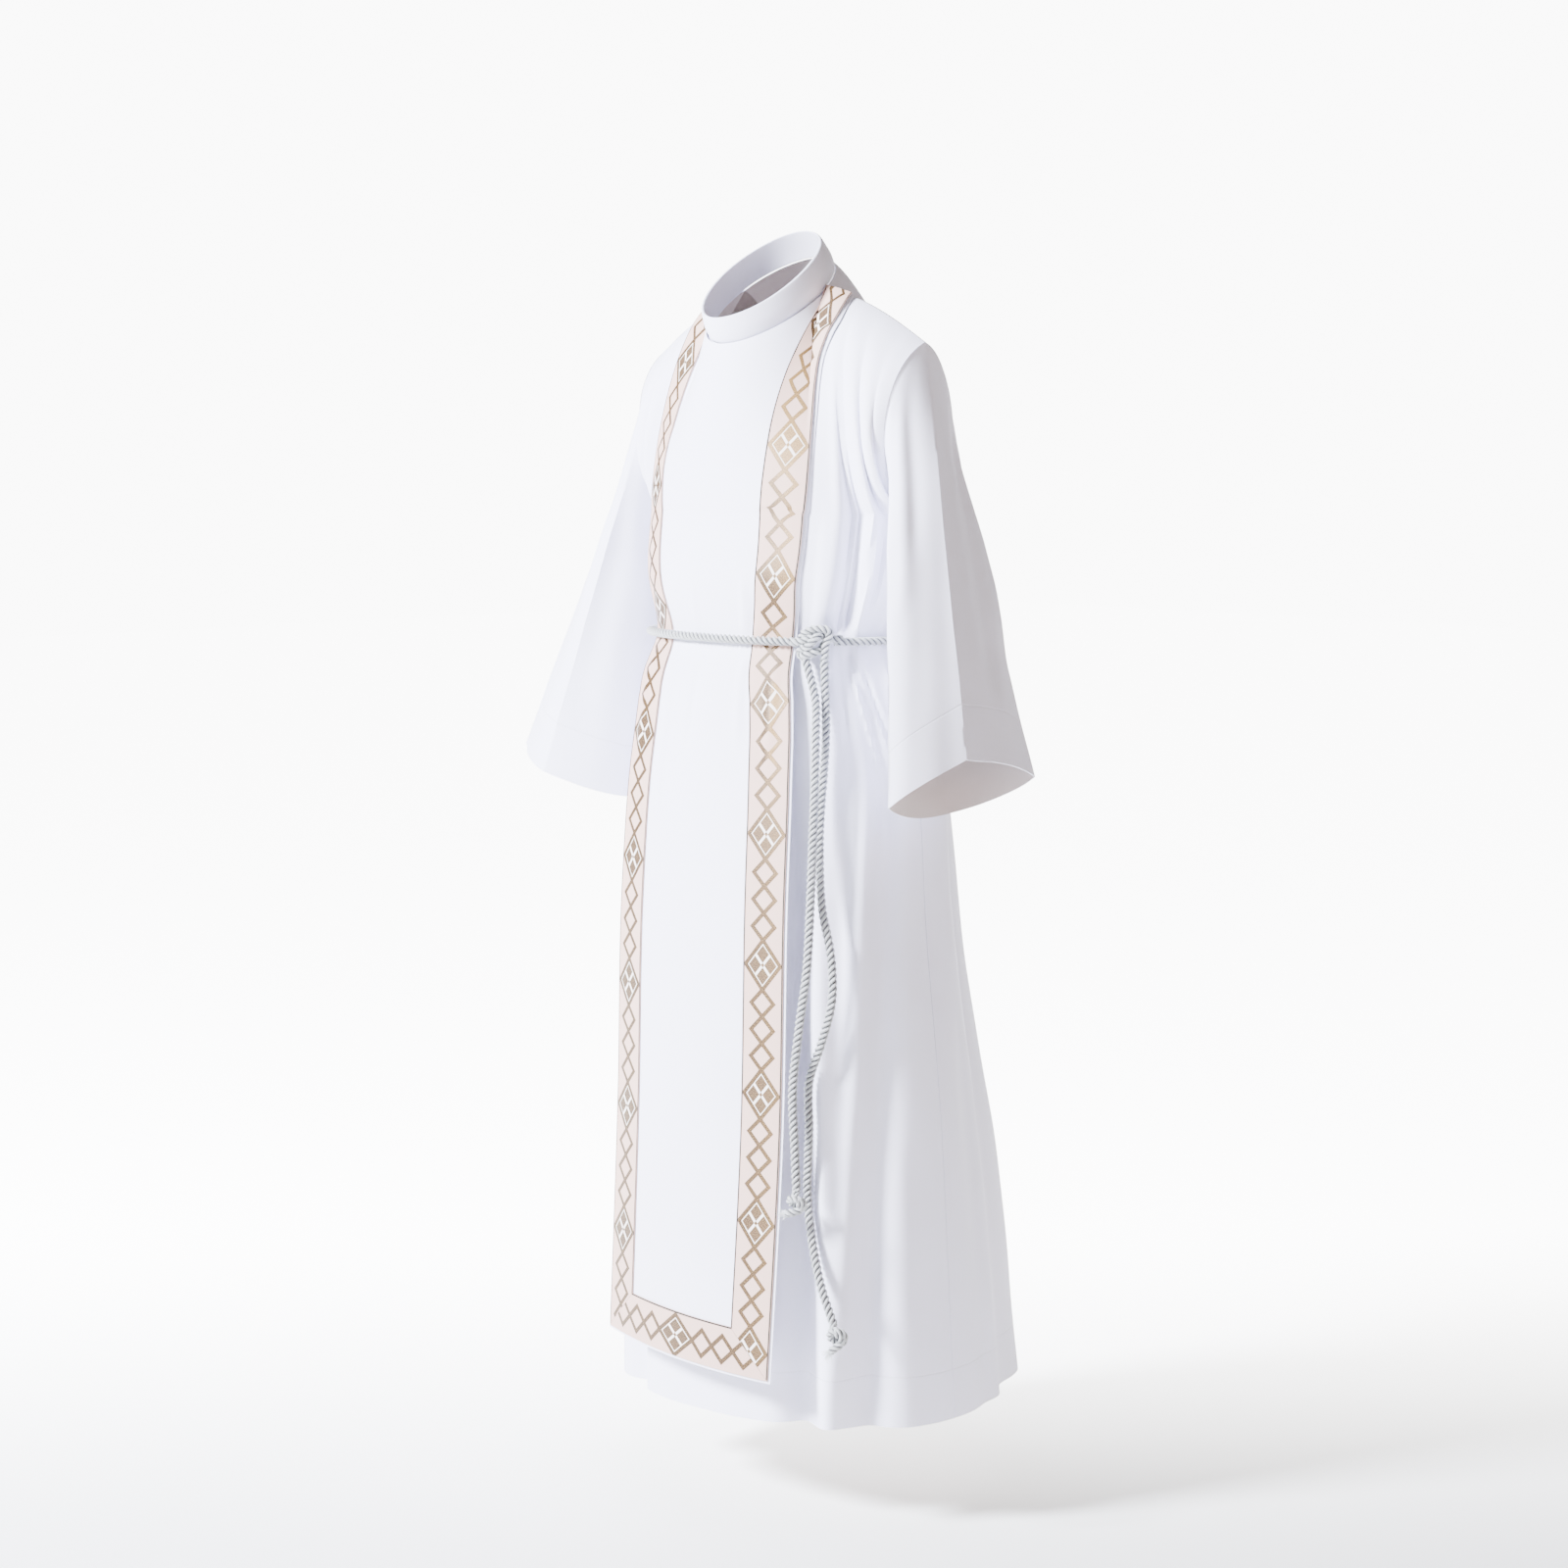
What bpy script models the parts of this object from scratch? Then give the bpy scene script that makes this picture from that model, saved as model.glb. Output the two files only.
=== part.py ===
"""Child's first communion robe: alb, front panel with braid and knotted cord belt, worn form."""
import math

import bpy
import bmesh
import numpy as np

CLOTH = 0.0020
SLEEVE_CLOTH = 0.0018
PANEL_CLOTH = 0.0012
BRAID_CLOTH = 0.0012
COLLAR_CLOTH = 0.0030
SEAM_GAP = 0.0006
PANEL_LIFT = 0.0026
BRAID_LIFT = 0.0042
CORD_RADIUS = 0.0045

ARMPIT_Z = -0.200
BELT_Z = -0.3215
HEM_Z = -1.086
HEM_SAG = 0.010
HEM_SAG_TURN = -40.0
PANEL_TILT = 0.005
NECK_SHARE = 0.40
NECK_TURN = 106.0
NECK_RADIUS = 0.0620
NECK_BASE = 0.006
NECK_TILT = 0.70
SHOULDER_TIP = (0.183, 0.028, -0.037)

# Body sections from armpit to hem, sizes in metres.
SECTION_FIELDS = ("z", "mid_y", "half_width", "front", "back", "square")
SECTIONS = (
    (-0.200, 0.040, 0.168, 0.110, 0.135, 2.40),
    (-0.260, 0.034, 0.164, 0.112, 0.124, 2.40),
    (-0.322, 0.025, 0.149, 0.099, 0.105, 2.35),
    (-0.365, 0.023, 0.162, 0.106, 0.109, 2.35),
    (-0.440, 0.024, 0.177, 0.113, 0.114, 2.35),
    (-0.620, 0.028, 0.189, 0.123, 0.127, 2.35),
    (-0.850, 0.039, 0.197, 0.135, 0.174, 2.30),
    (-1.086, 0.051, 0.201, 0.147, 0.198, 2.30),
)

# Folds: turn in degrees from the front centre towards the wearer's left.
FOLD_FIELDS = ("z_top", "z_bottom", "turn_top", "turn_bottom", "width", "depth", "fade")
FOLDS = (
    (-0.150, -0.325, 55.0, 62.0, 5.0, -0.008, 0.06),
    (-0.120, -0.330, 70.0, 70.0, 5.0, 0.006, 0.08),
    (-0.150, -0.325, -58.0, -62.0, 6.0, -0.006, 0.06),
    (-0.325, -0.480, 66.0, 74.0, 4.5, -0.006, 0.06),
    (-0.325, -0.560, -66.0, -72.0, 6.0, -0.007, 0.09),
    (-0.420, -1.200, 33.0, 33.0, 5.5, -0.017, 0.25),
    (-0.460, -1.200, 44.0, 43.0, 5.0, 0.009, 0.25),
    (-0.400, -1.000, 66.0, 48.0, 5.0, 0.010, 0.12),
    (-0.400, -1.050, 77.0, 58.0, 6.0, -0.008, 0.14),
    (-0.560, -1.200, 92.0, 84.0, 14.0, 0.007, 0.25),
    (-0.420, -1.200, -36.0, -36.0, 6.0, -0.014, 0.25),
    (-0.450, -1.200, -60.0, -52.0, 7.0, 0.010, 0.25),
    (-0.420, -1.200, -82.0, -74.0, 8.0, -0.010, 0.25),
    (-0.360, -1.200, 122.0, 126.0, 9.0, -0.012, 0.22),
    (-0.340, -1.200, 146.0, 148.0, 9.0, 0.010, 0.22),
    (-0.340, -1.200, 166.0, 168.0, 8.0, -0.013, 0.22),
    (-0.340, -1.200, 186.0, 188.0, 9.0, 0.010, 0.22),
    (-0.350, -1.200, 208.0, 212.0, 9.0, -0.012, 0.22),
    (-0.380, -1.200, 234.0, 238.0, 10.0, 0.009, 0.22),
    (-0.150, -0.330, 125.0, 130.0, 7.0, -0.007, 0.08),
    (-0.130, -0.330, 158.0, 160.0, 8.0, 0.006, 0.09),
    (-0.130, -0.330, 180.0, 180.0, 7.0, -0.007, 0.09),
    (-0.130, -0.330, 202.0, 200.0, 8.0, 0.006, 0.09),
    (-0.150, -0.330, 235.0, 230.0, 7.0, -0.007, 0.08),
)

# Panel hung free under the belt: half width, depth of its middle and of its edges.
PANEL_FIELDS = ("z", "half_width", "middle_y", "edge_y")
PANEL_HANG = (
    (-0.380, 0.1120, -0.0930, -0.0735),
    (-0.460, 0.1180, -0.1010, -0.0820),
    (-0.570, 0.1210, -0.1085, -0.0900),
    (-0.790, 0.1220, -0.1150, -0.0965),
    (-1.033, 0.1190, -0.1280, -0.1110),
)

# Braid edges on the wearer's left and right: metres across up to the armpit, then shares by rise.
EDGE_FIELDS = ("level", "left_outer", "left_inner", "right_outer", "right_inner")
LOW_EDGES = (
    (-0.200, 0.1075, 0.0575, 0.1300, 0.0920),
    (-0.240, 0.1073, 0.0600, 0.1290, 0.0880),
    (-0.280, 0.1025, 0.0570, 0.1240, 0.0810),
    (-0.3215, 0.0970, 0.0515, 0.1120, 0.0660),
    (-0.380, 0.1105, 0.0640, 0.1120, 0.0650),
    (-0.460, 0.1180, 0.0710, 0.1180, 0.0710),
    (-0.570, 0.1210, 0.0740, 0.1210, 0.0740),
    (-0.790, 0.1220, 0.0750, 0.1220, 0.0750),
    (-1.033, 0.1190, 0.0720, 0.1190, 0.0720),
)
YOKE_EDGES = (
    (0.0, 0.400, 0.177, 0.526, 0.323),
    (0.1, 0.412, 0.182, 0.540, 0.340),
    (0.2, 0.422, 0.190, 0.555, 0.368),
    (0.3, 0.434, 0.198, 0.572, 0.395),
    (0.4, 0.448, 0.206, 0.587, 0.415),
    (0.5, 0.463, 0.217, 0.600, 0.430),
    (0.6, 0.488, 0.232, 0.611, 0.440),
    (0.7, 0.522, 0.253, 0.621, 0.448),
    (0.8, 0.552, 0.286, 0.631, 0.456),
    (0.9, 0.570, 0.338, 0.641, 0.466),
    (1.0, 0.568, 0.400, 0.650, 0.480),
)

# Sleeve openings at the cuff: crest, front, inner and back corners.
CUFF_LEFT = ((0.318, -0.052, -0.420), (0.290, -0.126, -0.462), (0.228, 0.008, -0.484), (0.292, 0.074, -0.446))
CUFF_RIGHT = ((-0.343, -0.038, -0.452), (-0.266, -0.078, -0.474), (-0.200, -0.010, -0.500), (-0.272, 0.094, -0.466))
CORNER_ROUND = (0.12, 0.62, 0.80, 0.62)

# Belt tails: path points from the knot down.
TAIL_LEFT_PATH = (
    (0.1160, -0.0645, -0.3374),
    (0.1325, -0.0665, -0.378),
    (0.1410, -0.0745, -0.408),
    (0.1500, -0.0870, -0.515),
    (0.1510, -0.0910, -0.573),
    (0.1505, -0.0950, -0.631),
    (0.1423, -0.0980, -0.692),
    (0.1373, -0.1010, -0.750),
    (0.1400, -0.1010, -0.801),
    (0.1418, -0.1000, -0.845),
)
TAIL_RIGHT_PATH = (
    (0.1296, -0.0523, -0.3372),
    (0.1400, -0.0600, -0.402),
    (0.1460, -0.0740, -0.515),
    (0.1525, -0.0770, -0.572),
    (0.1641, -0.0760, -0.620),
    (0.1676, -0.0780, -0.658),
    (0.1557, -0.0810, -0.703),
    (0.1415, -0.0830, -0.741),
    (0.1412, -0.0830, -0.786),
    (0.1355, -0.0785, -0.868),
    (0.1455, -0.0800, -0.910),
    (0.1574, -0.0820, -0.940),
    (0.1764, -0.0840, -0.973),
)
KNOT_TURN = 47.5
KNOT_OUT = 0.0128
KNOT_SIZE = (0.0165, 0.0115, 0.0165)
KNOT_GAP = 7.9
END_LEFT_SIZE = (0.0105, 0.0100, 0.0125)
END_RIGHT_SIZE = (0.0120, 0.0105, 0.0125)


def column(rows, fields, name):
    index = fields.index(name)
    return [row[index] for row in rows]


def smooth(where, knots, values):
    """Cubic through the table rows; knots may fall or rise."""
    x = np.asarray(knots, float)
    y = np.asarray(values, float)
    if x[0] > x[-1]:
        x = x[::-1]
        y = y[::-1]
    where = min(max(where, x[0]), x[-1])
    i = int(min(max(np.searchsorted(x, where) - 1, 0), len(x) - 2))
    slopes = np.gradient(y, x)
    h = x[i + 1] - x[i]
    s = (where - x[i]) / h
    a = (1 + 2 * s) * (1 - s) ** 2 * y[i] + s * (1 - s) ** 2 * h * slopes[i]
    b = s * s * (3 - 2 * s) * y[i + 1] + s * s * (s - 1) * h * slopes[i + 1]
    return float(a + b)


def ease(value):
    value = min(max(value, 0.0), 1.0)
    return value * value * (3 - 2 * value)


def section(z):
    """Middle depth, half width, front, back and squareness at one height."""
    knots = column(SECTIONS, SECTION_FIELDS, "z")
    return [smooth(z, knots, column(SECTIONS, SECTION_FIELDS, name)) for name in SECTION_FIELDS[1:]]


def fold_height(turn, z):
    """Outward shift of the cloth from every fold that passes here."""
    total = 0.0
    for z_top, z_bottom, turn_top, turn_bottom, width, depth, fade in FOLDS:
        if z > z_top or z < z_bottom - fade:
            continue
        along = (z_top - z) / (z_top - z_bottom)
        centre = turn_top + (turn_bottom - turn_top) * along
        gap = (turn - centre + 180.0) % 360.0 - 180.0
        strength = ease((z_top - z) / fade) * ease((z - (z_bottom - fade)) / fade)
        total += depth * strength * math.exp(-(gap / width) ** 2)
    pinch = 1.0 - 0.92 * math.exp(-((z - BELT_Z) / 0.016) ** 2)
    return total * pinch


def ring_point(turn, z):
    """Cloth point at a turn in degrees round the body under the armpits."""
    mid_y, half_width, front, back, square = section(z)
    angle = math.radians(turn)
    power = 2.0 / square
    s = math.sin(angle)
    c = math.cos(angle)
    depth = front if c >= 0 else back
    x = half_width * math.copysign(abs(s) ** power, s)
    y = mid_y - depth * math.copysign(abs(c) ** power, c)
    out = np.array([s / half_width, -c / depth, 0.0])
    out /= np.linalg.norm(out)
    sag = HEM_SAG * max(0.0, math.cos(math.radians(turn - HEM_SAG_TURN))) ** 2 * ease((z + 0.80) / (HEM_Z + 0.80))
    return np.array([x, y, z - sag]) + out * fold_height(turn, z)


def neck_point(turn):
    angle = math.radians(turn)
    y = -NECK_RADIUS * math.cos(angle)
    return np.array([NECK_RADIUS * math.sin(angle), y, NECK_BASE + NECK_TILT * y])


def neck_normal():
    return np.array([0.0, -NECK_TILT, 1.0]) / math.hypot(1.0, NECK_TILT)


def top_point(share, back):
    """Neckline or shoulder seam point for one cloth column."""
    side = math.copysign(1.0, share)
    size = abs(share)
    if size <= NECK_SHARE:
        if back:
            return neck_point(180.0 - side * (180.0 - NECK_TURN) * size / NECK_SHARE)
        return neck_point(side * NECK_TURN * size / NECK_SHARE)
    run = (size - NECK_SHARE) / (1.0 - NECK_SHARE)
    start = neck_point(side * NECK_TURN)
    end = np.array([side * SHOULDER_TIP[0], SHOULDER_TIP[1], SHOULDER_TIP[2]])
    point = start + (end - start) * run
    point[2] += 0.006 * math.sin(math.pi * run)
    return point


def top_normal(share):
    side = math.copysign(1.0, share)
    size = abs(share)
    run = ease((size - NECK_SHARE) / 0.2)
    shoulder = np.array([0.38 * side, 0.0, 0.92])
    normal = neck_normal() * (1 - run) + shoulder * run
    return normal / np.linalg.norm(normal)


def yoke_point(share, rise, back):
    """Cloth above the armpits: share across -1..1, rise 0..1 from armpit level to seam."""
    side = math.copysign(1.0, share)
    size = abs(share)
    turn = share * 90.0
    if back:
        turn = 180.0 - turn
    start = ring_point(turn, ARMPIT_Z)
    end = top_point(share, back)
    edge = ease((size - 0.50) / 0.50)
    toward = 1.0 if back else -1.0
    run = ease((size - NECK_SHARE * 0.6) / 0.35)
    first = start + np.array([0.0, toward * (0.058 if back else 0.080) * edge, 0.075 - 0.055 * edge])
    first[0] += side * 0.004 * edge
    if back:
        second = end + np.array([0.0, 0.052 - 0.012 * run + 0.002 * edge, -0.030 + 0.030 * run - 0.012 * edge])
    else:
        second = end + np.array([0.0, -0.010 - 0.034 * run - 0.020 * edge, -0.045 + 0.027 * run - 0.008 * edge])
    second[0] += side * 0.006 * (1 - edge) * (1 - run)
    a = (1 - rise) ** 3
    b = 3 * rise * (1 - rise) ** 2
    c = 3 * rise * rise * (1 - rise)
    d = rise ** 3
    point = a * start + b * first + c * second + d * end
    level = ARMPIT_Z + rise * 0.16
    shift = fold_height(turn, level) - fold_height(turn, ARMPIT_Z)
    point[1] += toward * shift * (1 - rise) * 0.9
    return point


def body_point(share, height, back):
    """Height up to ARMPIT_Z is metres; above it the rise 0..1 is added."""
    if height <= ARMPIT_Z:
        turn = share * 90.0
        if back:
            turn = 180.0 - turn
        point = ring_point(turn, height)
    else:
        point = yoke_point(share, height - ARMPIT_Z, back)
    if back:
        point = point + np.array([0.0, SEAM_GAP, 0.0])
    return point


def grid_normals(points, closed=False):
    """Outward normals of a grid of points, rows up, columns across."""
    count = len(points[0])
    rows = len(points)
    normals = []
    for j in range(rows):
        line = []
        for i in range(count):
            if closed:
                left = points[j][(i - 1) % count]
                right = points[j][(i + 1) % count]
            else:
                left = points[j][max(i - 1, 0)]
                right = points[j][min(i + 1, count - 1)]
            low = points[max(j - 1, 0)][i]
            high = points[min(j + 1, rows - 1)][i]
            n = np.cross(right - left, high - low)
            size = np.linalg.norm(n)
            line.append(n / size if size > 1e-12 else np.array([0.0, 0.0, 1.0]))
        normals.append(line)
    return normals


def shell(name, verts, normals, faces, thickness, lift=0.0):
    """Closed cloth piece: outer skin, inner skin, and the cut edge between them."""
    count = len(verts)
    outer = [v + n * (lift + thickness) if lift > 0 else v for v, n in zip(verts, normals)]
    inner = [v + n * lift if lift > 0 else v - n * thickness for v, n in zip(verts, normals)]
    mesh = bpy.data.meshes.new(name)
    all_faces = [tuple(face) for face in faces]
    all_faces += [tuple(count + k for k in reversed(face)) for face in faces]
    uses = {}
    for face in faces:
        for a, b in zip(face, list(face[1:]) + [face[0]]):
            uses[(a, b)] = uses.get((a, b), 0) + 1
    for a, b in uses:
        if (b, a) not in uses:
            all_faces.append((b, a, count + a, count + b))
    mesh.from_pydata([tuple(v) for v in outer + inner], [], all_faces)
    return add_object(name, mesh)


def add_object(name, mesh):
    work = bmesh.new()
    work.from_mesh(mesh)
    bmesh.ops.triangulate(work, faces=work.faces)
    bmesh.ops.recalc_face_normals(work, faces=work.faces)
    if work.calc_volume(signed=True) < 0:
        bmesh.ops.reverse_faces(work, faces=work.faces)
    work.to_mesh(mesh)
    work.free()
    obj = bpy.data.objects.new(name, mesh)
    bpy.context.scene.collection.objects.link(obj)
    return obj


def grid_faces(rows, count, closed=False):
    faces = []
    for j in range(rows - 1):
        for i in range(count if closed else count - 1):
            k = (i + 1) % count
            faces.append((j * count + i, j * count + k, (j + 1) * count + k, (j + 1) * count + i))
    return faces


def flat(rows):
    return [point for row in rows for point in row]


def body_heights(rows_below, rows_above):
    heights = [HEM_Z + (BELT_Z - 0.03 - HEM_Z) * k / rows_below for k in range(rows_below + 1)]
    heights += [BELT_Z - 0.012, BELT_Z, BELT_Z + 0.012, -0.294, -0.264, -0.235, ARMPIT_Z]
    heights += [ARMPIT_Z + (k + 1) / rows_above for k in range(rows_above)]
    return heights


def body_shares(neck_steps, side_steps):
    right = [-1.0 + (1.0 - NECK_SHARE) * k / side_steps for k in range(side_steps)]
    middle = [-NECK_SHARE + 2 * NECK_SHARE * k / neck_steps for k in range(neck_steps + 1)]
    return right + middle + [-share for share in reversed(right)]


def make_body(name, back, neck_steps, side_steps):
    heights = body_heights(13, 10)
    shares = body_shares(neck_steps, side_steps)
    count = len(shares)
    if back:
        shares = shares[::-1]
    points = [[body_point(share, height, back) for share in shares] for height in heights]
    normals = grid_normals(points)
    for j, height in enumerate(heights):
        for i in (0, count - 1):
            side = 1.0 if points[j][i][0] > 0 else -1.0
            if height <= ARMPIT_Z:
                normals[j][i] = np.array([side, 0.0, 0.0])
            else:
                rise = height - ARMPIT_Z
                mix = normals[j][i] * 1.0
                edge = np.array([side, 0.0, 0.0]) * (1 - rise) + top_normal(side) * rise
                share = min(1.0, 4.0 * rise * (1.0 - rise))
                mix = mix * share + edge * (1.0 - share)
                normals[j][i] = mix / np.linalg.norm(mix)
    normals[-1] = [top_normal(share) for share in shares]
    return shell(name, flat(points), flat(normals), grid_faces(len(heights), count), CLOTH)


def armhole_loop(side, count):
    """Loop from shoulder tip down the front edge, round the armpit and up the back edge."""
    half = count // 2
    loop = []
    for k in range(count):
        if k <= half:
            loop.append(yoke_point(side, 1.0 - k / half, False))
        else:
            loop.append(yoke_point(side, (k - half) / half, True))
    return loop


def corner_ring(corners, count):
    """Four corners joined by sides, each side between straight and round."""
    quarter = count // 4
    centre = sum(corners) / 4.0
    ring = []
    for k in range(count):
        at = k // quarter
        part = (k % quarter) / quarter
        start = corners[at]
        end = corners[(at + 1) % 4]
        straight = start + (end - start) * part
        angle = part * math.pi / 2
        middle = centre + (start - centre) * math.cos(angle) + (end - centre) * math.sin(angle)
        soft = CORNER_ROUND[at] * (1 - part) + CORNER_ROUND[(at + 1) % 4] * part
        ring.append(straight * (1 - soft) + middle * soft)
    return ring


def make_sleeve(name, side, cuff, count, rows):
    loop = armhole_loop(side, count)
    tops = [loop[0], loop[count // 4], loop[count // 2], loop[3 * count // 4]]
    ends = [np.array(corner) for corner in cuff]
    points = []
    for j in range(rows):
        run = j / (rows - 1)
        weight = ease(run / 0.45)
        corners = [a + (b - a) * run for a, b in zip(tops, ends)]
        goal = corner_ring(corners, count)
        centre_top = sum(loop) / count
        centre = sum(corners) / 4.0
        line = []
        for k in range(count):
            start = centre + (loop[k] - centre_top)
            point = start * (1 - weight) + goal[k] * weight
            if j == 0:
                point = loop[k]
            point = point + np.array([side * SEAM_GAP, 0.0, 0.0])
            line.append(point)
        points.append(line)
    if side > 0:
        points = [row[::-1] for row in points]
    points = points[::-1]
    normals = grid_normals(points, closed=True)
    for k, normal in enumerate(normals[-1]):
        if normal[0] * side > 0:
            normal[0] = 0.0
            normals[-1][k] = normal / np.linalg.norm(normal)
    return shell(name, flat(points), flat(normals), grid_faces(rows, count, True), SLEEVE_CLOTH)


def make_collar(count):
    profile = ((0.0, 0.0000), (0.012, 0.0004), (0.024, -0.0018), (0.029, -0.0032))
    lean = np.array([0.0, -0.50, 0.86])
    start = neck_normal() * SEAM_GAP
    points = []
    for rise, grow in profile:
        line = []
        for k in range(count):
            turn = 360.0 * k / count
            base = neck_point(turn)
            out = np.array([math.sin(math.radians(turn)), -math.cos(math.radians(turn)), 0.0])
            line.append(base + start + lean * rise + out * grow)
        points.append(line)
    normals = grid_normals(points, closed=True)
    return shell("collar", flat(points), flat(normals), grid_faces(len(profile), count, True), COLLAR_CLOTH)


def panel_rows():
    """Heights for the panel, bottom first; above the armpit the rise is added."""
    low = column(PANEL_HANG, PANEL_FIELDS, "z")[-1]
    heights = [low, low + 0.024, low + 0.048]
    heights += [low + 0.048 + (BELT_Z - 0.045 - low - 0.048) * (k + 1) / 10 for k in range(10)]
    heights += [BELT_Z - 0.020, BELT_Z, BELT_Z + 0.020, -0.282, -0.245, ARMPIT_Z]
    heights += [ARMPIT_Z + share for share in (0.13, 0.26, 0.39, 0.52, 0.65, 0.77, 0.86, 0.93)]
    return heights


def share_at(x, z):
    half_width = section(z)[1]
    square = section(z)[4]
    size = min(abs(x) / half_width, 1.0) ** (square / 2.0)
    return math.copysign(math.degrees(math.asin(size)) / 90.0, x)


def panel_edges(height):
    """Left outer and inner braid edge, then the right ones: shares above the armpit, metres below it."""
    rows = YOKE_EDGES if height > ARMPIT_Z else LOW_EDGES
    level = height - ARMPIT_Z if height > ARMPIT_Z else height
    knots = column(rows, EDGE_FIELDS, "level")
    return [smooth(level, knots, column(rows, EDGE_FIELDS, name)) for name in EDGE_FIELDS[1:]]


def hang_point(x, z):
    """Panel cloth between the belt, where it lies on the body, and its free lower end."""
    lying = body_point(share_at(x, z), z, False)
    if z >= BELT_Z - 0.002:
        return lying
    knots = column(PANEL_HANG, PANEL_FIELDS, "z")
    half = smooth(z, knots, column(PANEL_HANG, PANEL_FIELDS, "half_width"))
    middle = smooth(z, knots, column(PANEL_HANG, PANEL_FIELDS, "middle_y"))
    edge = smooth(z, knots, column(PANEL_HANG, PANEL_FIELDS, "edge_y"))
    tilt = PANEL_TILT * x / half * ease((z + 0.70) / (knots[-1] + 0.70))
    free = np.array([x, middle + (edge - middle) * (x / half) ** 2, z - tilt])
    blend = ease((BELT_Z - 0.002 - z) / 0.070)
    return lying * (1 - blend) + free * blend


def panel_grid():
    inner_columns = 10
    points = []
    for height in panel_rows():
        left_outer, left_inner, right_outer, right_inner = panel_edges(height)
        between = left_inner + right_inner
        across = [-right_outer, -(right_outer + right_inner) / 2]
        across += [-right_inner + between * k / inner_columns for k in range(inner_columns + 1)]
        across += [(left_outer + left_inner) / 2, left_outer]
        if height > ARMPIT_Z:
            points.append([body_point(share, height, False) for share in across])
        else:
            points.append([hang_point(x, height) for x in across])
    return points


def make_panel_and_braid():
    points = panel_grid()
    rows = len(points)
    count = len(points[0])
    normals = grid_normals(points)
    shell("panel", flat(points), flat(normals), grid_faces(rows, count), PANEL_CLOTH, PANEL_LIFT)
    for name, columns in (("trim_right", (0, 1, 2)), ("trim_left", (count - 1, count - 2, count - 3))):
        verts = []
        turned = []
        index = {}
        for step, i in enumerate(columns):
            for j in range(step, rows):
                index[(step, j)] = len(verts)
                verts.append(points[j][i])
                turned.append(normals[j][i])
        faces = []
        for step in range(2):
            faces.append((index[(step, step)], index[(step + 1, step + 1)], index[(step, step + 1)]))
            for j in range(step + 1, rows - 1):
                faces.append((index[(step, j)], index[(step + 1, j)], index[(step + 1, j + 1)], index[(step, j + 1)]))
        if name == "trim_left":
            faces = [tuple(reversed(face)) for face in faces]
        shell(name, verts, turned, faces, BRAID_CLOTH, BRAID_LIFT)
    verts = []
    turned = []
    index = {}
    for j in range(3):
        for i in range(j, count - j):
            index[(j, i)] = len(verts)
            slide = 0.0
            if i == j:
                slide = SEAM_GAP
            if i == count - 1 - j:
                slide = -SEAM_GAP
            verts.append(points[j][i] + np.array([slide, 0.0, 0.0]))
            turned.append(normals[j][i])
    faces = []
    for j in range(2):
        first = j
        last = count - 1 - j
        faces.append((index[(j, first)], index[(j, first + 1)], index[(j + 1, first + 1)]))
        faces.append((index[(j, last - 1)], index[(j, last)], index[(j + 1, last - 1)]))
        for i in range(first + 1, last - 1):
            faces.append((index[(j, i)], index[(j, i + 1)], index[(j + 1, i + 1)], index[(j + 1, i)]))
    shell("trim_bottom", verts, turned, faces, BRAID_CLOTH, BRAID_LIFT)


def tube(name, path, radius, sides):
    """Round cord along a path of points."""
    path = [np.array(point, float) for point in path]
    count = len(path)
    up = np.array([0.0, 0.0, 1.0])
    verts = []
    for k in range(count):
        ahead = path[min(k + 1, count - 1)] - path[max(k - 1, 0)]
        ahead = ahead / np.linalg.norm(ahead)
        guide = up if abs(ahead[2]) < 0.5 else np.array([0.0, -1.0, 0.0])
        across = np.cross(ahead, guide)
        across /= np.linalg.norm(across)
        other = np.cross(ahead, across)
        for s in range(sides):
            angle = 2 * math.pi * s / sides
            verts.append(path[k] + radius * (across * math.cos(angle) + other * math.sin(angle)))
    faces = []
    for k in range(count - 1):
        n = k + 1
        for s in range(sides):
            t = (s + 1) % sides
            faces.append((k * sides + s, k * sides + t, n * sides + t, n * sides + s))
    faces.append(tuple(range(sides)))
    faces.append(tuple((count - 1) * sides + s for s in reversed(range(sides))))
    mesh = bpy.data.meshes.new(name)
    mesh.from_pydata([tuple(v) for v in verts], [], faces)
    return add_object(name, mesh)


def belt_place(turn, lift):
    """Point outside the cloth at belt height, with the outward direction there."""
    point = ring_point(turn, BELT_Z)
    half_width, front, back = section(BELT_Z)[1:4]
    c = math.cos(math.radians(turn))
    out = np.array([math.sin(math.radians(turn)) / half_width, -c / (front if c > 0 else back), 0.0])
    out /= np.linalg.norm(out)
    return point + out * lift, out


def belt_path(count):
    path = []
    first = KNOT_TURN + KNOT_GAP
    last = KNOT_TURN - KNOT_GAP + 360.0
    for k in range(count):
        turn = first + (last - first) * k / (count - 1)
        x = belt_place(turn, 0.0)[0][0]
        c = math.cos(math.radians(turn))
        over = 1.0 - ease((abs(x) - 0.110) / 0.014) if c > 0 else 0.0
        path.append(belt_place(turn, 0.0062 + over * 0.0052)[0])
    return path


def bend_path(points, count):
    """Even smooth path through the table points."""
    points = np.array(points, float)
    lengths = np.concatenate([[0.0], np.cumsum(np.linalg.norm(np.diff(points, axis=0), axis=1))])
    steps = np.linspace(0.0, lengths[-1], count)
    return [np.array([smooth(s, lengths, points[:, axis]) for axis in range(3)]) for s in steps]


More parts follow.
